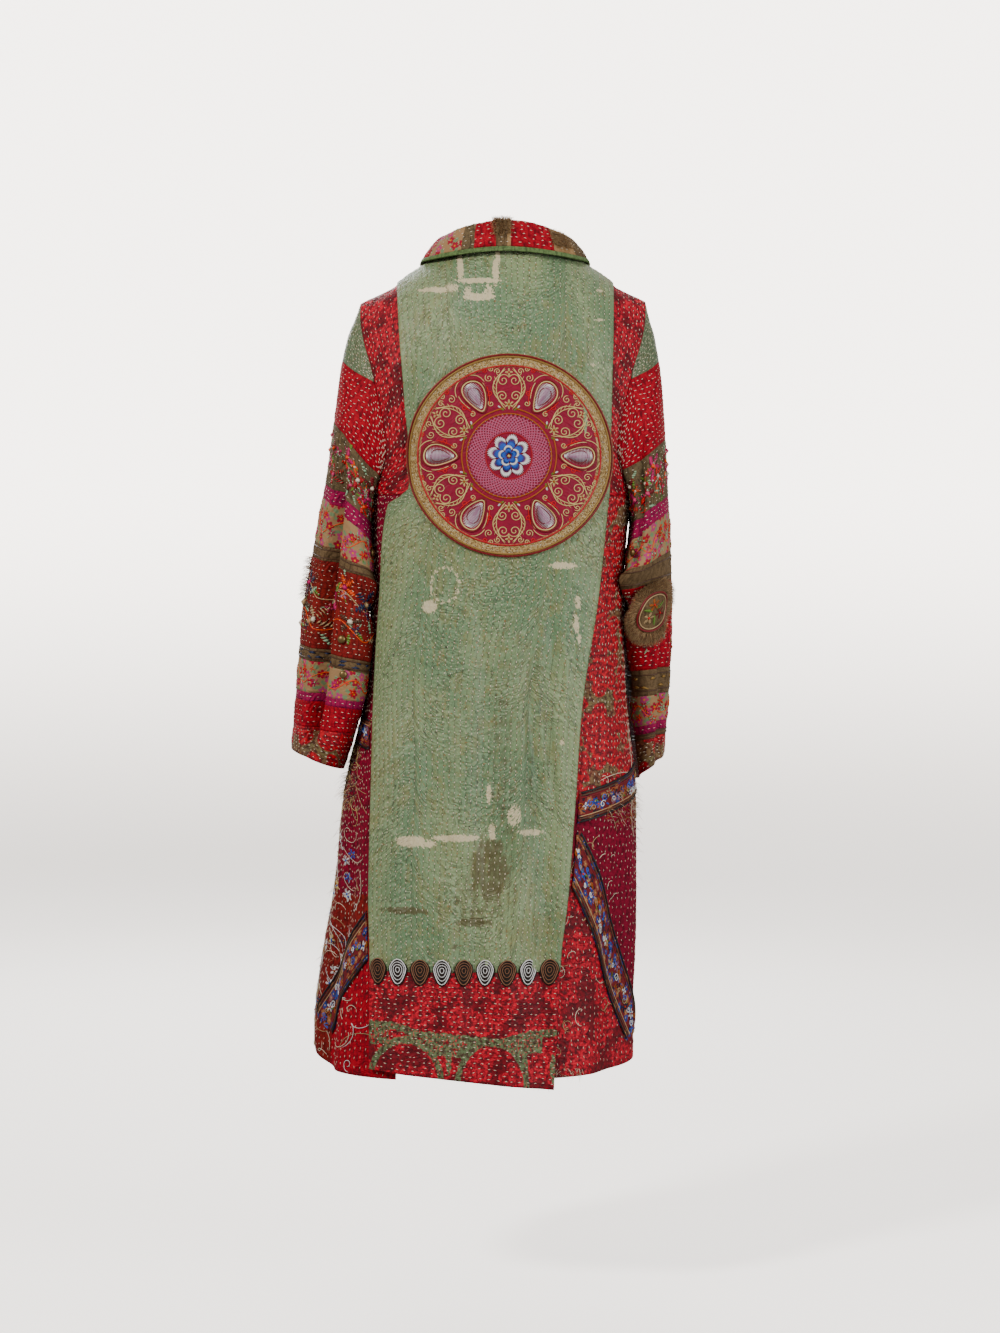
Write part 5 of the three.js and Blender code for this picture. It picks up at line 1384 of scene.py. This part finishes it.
SIXTH = np.pi / 3
SPRIGS = [(104, 27, 5.5, "pale_gold"), (116, 24, 3.6, "pale_gold"), (70, 24, 4.2, "pale_gold"),
          (84, 26, 4.6, "scarlet"), (114, 32, 3.4, "scarlet")]
for k in range(6):
    main, between = k * SIXTH, (k + 0.5) * SIXTH
    # A lilac drop with a white edge, standing on a gold outline
    ring = np.linspace(0, 2 * np.pi, 45)[:-1]
    bulb = 17 * np.sin(ring) * (0.72 + 0.28 * np.cos(ring) + 0.1 * np.sin(ring))
    drop_line = np.stack([91 + 20 * np.cos(ring), bulb], -1)
    for grow, colour, size in ((1.2, "ruby", 1.3), (1.08, "pale_gold", 1.0), (0.62, "ruby", 0.7)):
        line = (drop_line - [91, 0]) * grow + [91, 0]
        cord_on(round_spot, turned(line, main), size, inlay(colour), 0.2, 5, True)
    for layer, colour, rows, across in ((0.97, "white", 20, 1.0), (0.8, "lilac", 17, 1.4)):
        for at in np.linspace(-0.9, 0.9, rows):
            reach = math.sqrt(1 - at * at)
            far = (91 + 20 * at * layer, 17 * reach * layer * (0.72 + 0.28 * at))
            ends = turned([(far[0], -far[1]), (far[0] + across, far[1])], main)
            (a, normal), (b, _) = (round_spot(*end[:, None], 0.1 + (0.5 if layer < 0.9 else 0)) for end in ends)
            add_lozenges(inlay(colour), (a + b) / 2, unit(b - a), normal,
                         np.linalg.norm(b - a, axis=-1) * 1.05, 38 * layer / rows * 1.15, 1.0)
    for grow, start, colour in ((1.42, 1.1, "pale_gold"), (1.62, 1.4, "scarlet"), (1.62, 0.3, "pale_gold")):
        for flip in (1, -1):
            bow = np.linspace(start, start + 0.9, 12) * flip
            bow_x, bow_y = 20 * np.cos(bow), 17 * np.sin(bow) * (0.72 + 0.28 * np.cos(bow))
            line = np.stack([91 + bow_x * grow * 0.92, bow_y * grow], -1)
            cord_on(round_spot, turned(line, main), 0.6, inlay(colour), 0.2, 4)
    # Gold scrolls between the drops
    for flip in (1, -1):
        shapes = [
            spiral(101, 7.5 * flip, 8.5, 1.6, -flip * 1.2, flip), spiral(80, 9 * flip, 7.0, 1.5, flip * 1.4, -flip),
            np.stack([np.linspace(62, 118, 20), flip * (2 + 15 * np.sin(np.linspace(0.1, 3.0, 20)) ** 0.8)], -1),
            np.stack([np.linspace(66, 116, 20), flip * (1 + 20.5 * np.sin(np.linspace(0.1, 3.0, 20)) ** 0.9)], -1),
            spiral(113, 15.5 * flip, 4.2, 1.3, flip * 2.0, -flip, 20)]
        for shape in shapes:
            cord_on(round_spot, turned(shape, between), 0.62, GOLD, 0.2, 4)
        for step in range(7):
            at = 70 + 6 * step
            edge = flip * (2 + 15 * math.sin(0.1 + 2.9 * (at - 62) / 56) ** 0.8)
            feather = [(at, edge), (at + 3.5, edge + flip * 3.0), (at + 6.5, edge + flip * 4.2)]
            cord_on(round_spot, turned(feather, between), 0.5, GOLD, 0.2, 4)
        for x, y, size, colour in SPRIGS:
            sprig = spiral(x, y * flip, size, 1.4, flip * 0.6, flip, 18)
            cord_on(round_spot, turned(sprig, between), 0.6, inlay(colour), 0.2, 4)
    x, y = turned([(112, 0)], between)[0]
    flower(round_spot, x, y, 5, "pale_gold", "crimson", "medallion", 4, between, 3)
    x, y = turned([(69, 0)], between)[0]
    flower(round_spot, x, y, 6.5, "pale_gold", "russet", "medallion", 6, between, 3)
    for flip in (-1, 1):
        x, y = turned([(61, 7 * flip)], between)[0]
        satin(round_spot, x, y, between + 0.9 * flip, 6, 4.2, inlay("leaf"), 4)
        x, y = turned([(64.5, 11.5 * flip)], between)[0]
        satin(round_spot, x, y, between + 0.9 * flip, 4, 3.4, inlay("white"), 3)
    arch = np.stack([59 + 4 * np.sin(np.linspace(0, np.pi, 16)), np.linspace(-25, 25, 16)], -1)
    cord_on(round_spot, turned(arch, main), 0.9, inlay("russet"), 0.2, 4)

# The lattice ring and its flecks
for k in range(60):
    angle = k * np.pi / 30
    for hand in (-1, 1):
        reach = np.linspace(31, 55, 9)
        lean = angle + hand * (reach - 31) / 24 * 0.5
        line = np.stack([reach * np.cos(lean), reach * np.sin(lean)], -1)
        cord_on(round_spot, line, 0.75, inlay("rose"), 0.1, 4)
for ring, reach in enumerate(np.arange(34, 56, 3.6)):
    count = 28 + 5 * ring
    angle = (np.arange(count) + 0.5 * (ring % 2)) * 2 * np.pi / count
    place, normal = round_spot(reach * np.cos(angle), reach * np.sin(angle), 0.9)
    way = unit(rng.normal(0, 1, place.shape))
    way = unit(way - normal * np.sum(way * normal, -1, keepdims=True))
    add_lozenges(inlay("lilac"), place, way, normal, 2.2, 1.2, 0.6)
for reach, petals, lift, colours in ((30, 8, 0.4, ("white", "blue")), (15, 5, 1.3, ("white", "blue"))):
    for k in range(petals):
        angle = 2 * np.pi * k / petals + 0.2
        for fan in np.linspace(-1, 1, 9):
            lean = angle + fan * 0.8 * np.pi / petals
            tip = reach * (1 - 0.2 * fan * fan)
            for start, end, colour in ((0.25, 0.78, colours[1]), (0.72, 1.0, colours[0])):
                ends = [(tip * r * math.cos(lean), tip * r * math.sin(lean)) for r in (start, end)]
                (a, normal), (b, _) = (round_spot(*np.array(point)[:, None], lift) for point in ends)
                add_lozenges(inlay(colour), (a + b) / 2, unit(b - a), normal,
                             np.linalg.norm(b - a, axis=-1) * 1.1, 0.24 * reach * (start + 0.5) * 8 / petals / 3, 1.1)
        edge = angle + np.pi / petals
        ray = [(far * reach * math.cos(edge), far * reach * math.sin(edge)) for far in (0.3, 0.6, 0.9)]
        cord_on(round_spot, ray, 0.5, inlay("ruby"), lift + 0.7, 4)
knot(round_spot, 0, 0, 2.6, GOLD)
cord_on(round_spot, arc(0, 0, 31, 0, 2 * np.pi, 72)[:-1], 0.8, inlay("crimson"), 0.1, 4, True)
cord_on(round_spot, arc(0, 0, 56.5, 0, 2 * np.pi, 90)[:-1], 1.0, inlay("russet"), 0.1, 4, True)

# The leaf patches: an outline and a spiral that follows it inwards
LEAF_THREADS = ["umber", "white"]
for number, grid in enumerate(leaf_grids):
    colour = LEAF_THREADS[number % 2]
    spot = grid.spot(12, 6.6)
    for turn in range(4):
        size = 1 - 0.25 * turn - 0.05
        angle = np.linspace(0, 2 * np.pi, 37)[:-1]
        x = 14.2 * size * np.sign(np.cos(angle)) * np.abs(np.cos(angle)) ** 0.85
        y = np.where(np.sin(angle) < 0, 14.2, 20.4) * size * np.sin(angle) * np.where(
            np.sin(angle) < 0, 1, np.abs(np.sin(angle)) ** 0.25) - 1.0
        cord_on(spot, np.stack([x, y], -1), 0.5 if turn else 0.7, heap_of("leaves", colour), 0.1, 4, True)

# Flowers on the sleeve bands
GOLDEN_SHARE = 0.618  # spreads the flowers evenly


def scatter(grid, count, radius, colours, hearts, piece, petals=5, margin=0.18):
    """Flowers spread over a band: column and row shares from a jittered line, never near the edges."""
    ni, nj = grid.size
    for k in range(count):
        i = ni * ((k + 0.5 + rng.uniform(-0.3, 0.3)) / count)
        j = nj * mix(margin, 1 - margin, (k * GOLDEN_SHARE) % 1)
        if (grid.t[int(i), -1]) * 1000 < 2.2 * radius:
            continue
        size = radius * rng.uniform(0.75, 1.2)
        spot = grid.spot(i, j)
        flower(spot, 0, 0, size, colours[k % len(colours)], hearts[k % len(hearts)], piece, petals,
               rng.uniform(0, 6), 4)
        for leaf_turn in (rng.uniform(0, 6), rng.uniform(0, 6)):
            satin(spot, size * math.cos(leaf_turn), size * math.sin(leaf_turn), leaf_turn, 0.8 * size, 0.35 * size,
                  heap_of(piece, "mint" if k % 2 else "leaf"), 4)


def vine(grid, row, wave, waves, colour, piece, radius=0.8):
    ni, nj = grid.size
    share = np.linspace(0.02, 0.98, 90)
    j = nj * (row + wave * np.sin(2 * np.pi * waves * share))
    place, normal = grid.top(ni * share, j, 0.3)
    add_cord(heap_of(piece, colour), place, normal, radius, 4, 0.8)


for (side, number), (grid, _, _) in BAND_GRIDS.items():
    skin = BANDS[side][number][0]
    if skin == "olive":
        scatter(grid, 26, 14, ["crimson", "scarlet", "magenta", "ruby"], ["orange", "pink", "cream"],
                "sleeve_flowers")
        scatter(grid, 24, 6, ["orange", "magenta"], ["cream"], "sleeve_flowers", 4)
    elif skin == "tan_floral":
        scatter(grid, 30, 6.5, ["scarlet", "magenta", "crimson"], ["orange", "mint"], "sleeve_flowers")
        scatter(grid, 16, 4.5, ["orange", "mint"], ["magenta"], "sleeve_flowers", 4, 0.1)
        vine(grid, 0.5, 0.2, 7, "orange", "sleeve_flowers")
    elif number == 6 and side > 0:
        scatter(grid, 18, 21, ["navy", "sand", "magenta", "orange", "brown"], ["sand", "magenta", "cream"],
                "panel_flowers")
        vine(grid, 0.35, 0.1, 5, "sand", "panel_flowers")
        vine(grid, 0.7, 0.1, 5, "orange", "panel_flowers")
        scatter(grid, 14, 7, ["pink", "lilac", "navy"], ["sand"], "panel_flowers", 4)
    elif number == 6:
        scatter(grid, 16, 10, ["crimson", "magenta", "ruby"], ["orange"], "panel_flowers")
    elif skin == "brown":
        vine(grid, 0.2, 0.0, 1, "brown", "sleeve_flowers", 1.0)
        vine(grid, 0.8, 0.0, 1, "brown", "sleeve_flowers", 1.0)
        if number == 7:
            kantha(grid, 3, piece="sleeve_flowers", colour="navy" if side > 0 else "gold", along="s", pitch=22,
                   length=13, width=5)

# Scrolls and small flowers along the woven borders, with a cord at each edge
for name, (grid, s, w) in border_grids.items():
    ni, nj = grid.size
    length_mm = float(grid.s[-1, nj // 2] - grid.s[0, nj // 2]) * 1000
    width_mm = float(grid.t[ni // 2, -1]) * 1000
    rows = np.linspace(0.01, 0.99, max(20, ni))
    for edge, colour, size in ((0.03, "ink", 1.6), (0.12, "brown", 1.2), (0.2, "sand", 0.7), (0.97, "ink", 1.6),
                               (0.88, "brown", 1.2), (0.8, "ruby", 0.7)):
        place, normal = grid.top(ni * rows, nj * edge + 0 * rows, 0.3)
        add_cord(heap_of("border_work", colour), place, normal, size, 5, 0.7)
    count = int(length_mm / 17)
    for k in range(count):
        spot = grid.spot(ni * (k + 0.5) / count, nj * (0.5 + 0.08 * (-1) ** k))
        petal = ["white", "blue", "sand", "lilac", "russet", "white", "navy"][k % 7]
        flower(spot, 0, rng.uniform(-5, 5), rng.uniform(4.5, 7.5), petal, ["blue", "orange", "crimson"][k % 3],
               "border_work", 4 + k % 3, k * 0.7, 4)
        for flip in (-1, 1):
            curl = spiral(8.0 * flip, rng.uniform(-8, 8), rng.uniform(3.5, 6), 1.3, rng.uniform(0, 6), flip, 18)
            colour = ["sand", "blue", "white", "russet"][(k + flip) % 4]
            cord_on(spot, curl, 0.7, heap_of("border_work", colour), 0.2, 4)
            satin(spot, 5 * flip, -8 * (-1) ** k, 0.6 * flip, 6, 3.4,
                  heap_of("border_work", ["navy", "leaf", "blue"][k % 3]), 3)

# Scrolls, small flowers and loose curls of thread low on the sides
def curls(grid, low_i, high_i, low_j, high_j, count, colours, piece, size=7, lift=0.6):
    for k in range(count):
        spot = grid.spot(rng.uniform(low_i, high_i), rng.uniform(low_j, high_j))
        reach = size * rng.uniform(0.5, 1.5)
        share = np.linspace(0, 1, 16)
        angle = rng.uniform(0, 6.28) + share * rng.uniform(2, 7) * rng.choice([-1, 1])
        drift = rng.normal(0, reach, 2)
        x = reach * np.cos(angle) * (1 - 0.5 * share) + drift[0] * share * 2
        y = reach * np.sin(angle) * (1 - 0.5 * share) + drift[1] * share * 2
        cord_on(spot, np.stack([x, y], -1), 0.42, heap_of(piece, colours[k % len(colours)]), lift, 4)


left, right = GRIDS["side_left"], GRIDS["side_right"]
curls(left, 30, 105, 118, 196, 60, ["cream", "white", "sand"], "side_work", 10)
curls(left, 35, 105, 78, 112, 70, ["sand", "pale_gold", "brown"], "side_work", 8)
curls(right, 30, 100, 97, 112, 40, ["sand", "cream", "russet"], "side_work", 8)
curls(right, 5, 60, 120, 190, 26, ["sand", "cream"], "side_work", 7)
for k in range(26):
    spot = left.spot(rng.uniform(48, 106), rng.uniform(122, 192))
    colour = ["white", "blue", "pale_gold", "navy", "white"][k % 5]
    flower(spot, 0, 0, 7.5, colour, ["blue", "russet"][k % 2], "side_work", 5, k * 0.9, 4)

# Fur: round the sleeve's patch, on the collar and in tufts on the left sleeve
def fur_spot(x, y, lift=0.0):
    return on_fur_patch(np.asarray(x, float), np.asarray(y, float), WALL / 2 + 6.1 + lift)


for colour, count in (("fox", 2200), ("sand", 1500)):
    angle = rng.uniform(0, 2 * np.pi, count)
    reach = rng.uniform(27, 39.5, count)
    hairs_on(fur_spot, reach * np.cos(angle), reach * np.sin(angle), np.cos(angle), np.sin(angle),
             rng.uniform(5, 10, count), 0.28, heap_of("fur", colour), 0.55, 0.12)
cord_on(fur_spot, arc(0, 0, 25, 0, 2 * np.pi, 60)[:-1], 1.3, heap_of("roundel", "ruby"), 0.1, 5, True)
cord_on(fur_spot, arc(0, 0, 22, 0, 2 * np.pi, 60)[:-1], 0.8, heap_of("roundel", "sand"), 0.1, 5, True)
for k in range(3):
    angle = k * THIRD_TURN + 0.5
    flower(fur_spot, 10 * math.cos(angle), 10 * math.sin(angle), 8, ["sand", "ruby", "russet"][k], "scarlet",
           "roundel", 5, angle)
    satin(fur_spot, 4 * math.cos(angle + 1), 4 * math.sin(angle + 1), angle + 1, 14, 5, heap_of("roundel", "leaf"), 6)


def tuft(grid, i, j, spread_i, spread_j, count, length, colours, piece, droop=0.4, rise=0.9, radius=0.3):
    """Hair or frayed thread that stands out of a patch of cloth."""
    for colour in colours:
        at_i = i + rng.uniform(-spread_i, spread_i, count)
        at_j = j + rng.uniform(-spread_j, spread_j, count)
        place, normal = grid.top(at_i, at_j, -0.2)
        way = unit(normal * rise + rng.normal(0, 0.45, place.shape))
        add_hairs(heap_of(piece, colour), place, way, rng.uniform(0.5, 1, count) * length, radius, droop, 0.4)


tuft(collar, 112, 24, 5, 9, 500, 11, ["sand", "fox"], "collar_fur", 0.25, 0.8, 0.25)
tuft(collar, 77, 31, 7, 5, 450, 10, ["sand", "fox"], "collar_fur", 0.35, 0.7, 0.25)
tuft(BAND_GRIDS[1, 6][0], 84, 12, 3, 12, 130, 14, ["fox", "sand"], "sleeve_fur", 0.35, 1.0, 0.25)
tuft(BAND_GRIDS[1, 6][0], 96, 8, 6, 8, 50, 8, ["fox"], "sleeve_fur", 0.35, 1.0, 0.25)

# Frayed threads at the worn places of the sides
tuft(GRIDS["side_right"], 60, 108, 26, 6, 45, 18, ["sand", "russet", "cream"], "frayed", 0.7, 0.5, 0.35)
tuft(GRIDS["side_right"], 100, 110, 9, 40, 30, 14, ["crimson", "ruby"], "frayed", 0.6, 0.8, 0.3)
tuft(GRIDS["side_left"], 70, 100, 30, 8, 60, 18, ["sand", "pale_gold", "navy"], "frayed", 0.7, 0.5, 0.35)
tuft(GRIDS["side_left"], 80, 140, 26, 40, 40, 15, ["sand", "ruby"], "frayed", 0.7, 0.6, 0.3)
tuft(GRIDS["side_right"], 20, 198, 12, 1.5, 40, 10, ["cream", "sand"], "frayed", 0.9, 0.3, 0.3)
tuft(border, 76, 48, 76, 1, 60, 4, ["crimson"], "frayed", 0.9, 0.3, 0.25)

THREADS = {name: thread(name, code) for name, code in THREAD_COLOURS.items()}
for (piece, colour), heap in HEAPS.items():
    obj = heap.make(f"{piece}_{colour}", THREADS[colour])
    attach(obj, "root")

# The light, the backdrop and the camera
CAMERA = Vector((0.007, 4.5, -0.359))
TARGET = Vector((0.007, 0, -0.562))
camera = bpy.data.objects.new("camera", bpy.data.cameras.new("camera"))
camera.location = CAMERA
camera.rotation_euler = (TARGET - CAMERA).to_track_quat("-Z", "Y").to_euler()
camera.data.sensor_fit = "VERTICAL"
camera.data.sensor_height = 36
camera.data.lens = 87.5
bpy.context.scene.collection.objects.link(camera)
bpy.context.scene.camera = camera


def area_light(name, place, aim, size, power, colour=(1, 1, 1)):
    light = bpy.data.lights.new(name, "AREA")
    light.shape, light.size, light.energy, light.color = "DISK", size, power, colour
    obj = bpy.data.objects.new(name, light)
    obj.location = place
    obj.rotation_euler = (Vector(aim) - Vector(place)).to_track_quat("-Z", "Y").to_euler()
    bpy.context.scene.collection.objects.link(obj)


area_light("key", (2.5, 2.6, 1.9), (0, 0, -0.5), 0.7, 245, (1, 0.97, 0.94))
area_light("fill", (-2.8, 2.2, 0.2), (0, 0, -0.6), 2.4, 165, (0.95, 0.97, 1))
area_light("front", (0.9, -3.2, 1.2), (0, 0, -0.5), 2.4, 120)
area_light("wash", (0, -2.6, 1.2), (0, 0, -0.6), 4.5, 60)
world = bpy.data.worlds.new("studio")
world.use_nodes = True
world.node_tree.nodes["Background"].inputs[0].default_value = (0.93, 0.91, 0.89, 1)
world.node_tree.nodes["Background"].inputs[1].default_value = 0.66
bpy.context.scene.world = world

# A pale round studio: floor, curve and wall, as (reach, height) of its profile
FLOOR, WALL, CURVE, AROUND = -1.426, 8.0, 4.5, 96
profile = [(0.0005, FLOOR), (1.5, FLOOR), (3.0, FLOOR)]
for k in range(17):
    turn = math.pi / 2 * k / 16
    profile.append((WALL - CURVE * (1 - math.sin(turn)), FLOOR + CURVE * (1 - math.cos(turn))))
profile.append((WALL, 9.0))
verts = np.array([(reach * math.sin(turn), reach * math.cos(turn), z)
                  for turn in np.linspace(0, 2 * math.pi, AROUND, endpoint=False) for reach, z in profile]) * 1000
count = len(profile)
quads = np.array([(k + j * count, k + (j + 1) % AROUND * count, k + 1 + (j + 1) % AROUND * count, k + 1 + j * count)
                  for j in range(AROUND) for k in range(count - 1)])
paper = bpy.data.materials.new("paper")
paper.use_nodes = True
tree = paper.node_tree
inputs = tree.nodes["Principled BSDF"].inputs
inputs["Base Color"].default_value = linear("f1ede8")
inputs["Roughness"].default_value = 0.9
inputs["Emission Color"].default_value = linear("fff6ee")
where = tree.nodes.new("ShaderNodeTexCoord")
height = tree.nodes.new("ShaderNodeSeparateXYZ")
glow = tree.nodes.new("ShaderNodeMapRange")
for k, value in enumerate((FLOOR - 0.05, FLOOR + 1.2, 1.0, 4.8), 1):
    glow.inputs[k].default_value = value
glow.interpolation_type = "SMOOTHSTEP"
tree.links.new(where.outputs["Object"], height.inputs[0])
tree.links.new(height.outputs[2], glow.inputs[0])
tree.links.new(glow.outputs[0], inputs["Emission Strength"])
backdrop = mesh_object("backdrop", verts, [quads[:, ::-1]], [paper])
backdrop.visible_diffuse = backdrop.visible_glossy = backdrop.visible_shadow = False
backdrop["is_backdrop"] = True

# What each piece replaces, and its slot
REPLACED = {
    "back_panel_cloth": (["back_panel"], "green_silk"), "back_border_cloth": (["back_border"], "red_silk"),
    "medallion_ground": (["medallion"], "medallion_embroidery"), "collar_cloth": (["collar"], "tan_silk"),
    "collar_binding_cloth": (["collar_binding"], "green_silk"), "fur_patch_ground": (["fur_patch"], "fur"),
}
for number in range(1, 10):
    REPLACED[f"leaf_{number}_patch"] = ([f"leaf_{number}"], "leaf_patches")
for number in range(1, 5):
    REPLACED[f"button_{number}_stud"] = ([f"button_{number}"], "worn_brass")
for name, *_ in BORDERS:
    REPLACED[name + "_braid"] = ([name], "indigo_silk")
for hand in ("left", "right"):
    REPLACED[f"back_strip_{hand}_cloth"] = ([f"back_strip_{hand}"], "red_silk")
    REPLACED[f"side_{hand}_cloth"] = ([f"side_{hand}"], "crimson_silk")
    REPLACED[f"front_{hand}_cloth"] = ([f"front_{hand}"], "red_silk")
SLOTS = {
    "green": "green_silk", "red_kantha": "red_silk", "olive": "olive_silk", "magenta": "crimson_silk",
    "tan_floral": "tan_silk", "brown": "tan_silk", "red_green": "red_silk", "rust": "crimson_silk"}
for (side, number), (grid, around, share) in BAND_GRIDS.items():
    hand, skin = ("left" if side > 0 else "right"), BANDS[side][number][0]
    covered = ["cap"] if number == 0 else ["red_band"] if number == 1 else ["flower_band"] if number < 6 else (
        ["panel"] if number == 6 else ["lower_band"] if number < 10 else ["cuff"])
    REPLACED[f"sleeve_{hand}_{number + 1}_{skin}"] = ([f"sleeve_{hand}_{c}" for c in covered], SLOTS[skin])

# Strips too narrow for a cut of their own go with the piece that they are sewn to
SEWN_TO = {"collar_binding_cloth": "collar_cloth", "sleeve_right_11_brown": "sleeve_right_12_red_green"}
for name, (nodes, slot_name) in REPLACED.items():
    obj = bpy.data.objects[name]
    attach(obj, "root")
    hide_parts(*nodes)
    if name in CLOTHS and name not in SEWN_TO:
        grid = CLOTHS[name]

bpy.context.view_layer.update()
low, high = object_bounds()
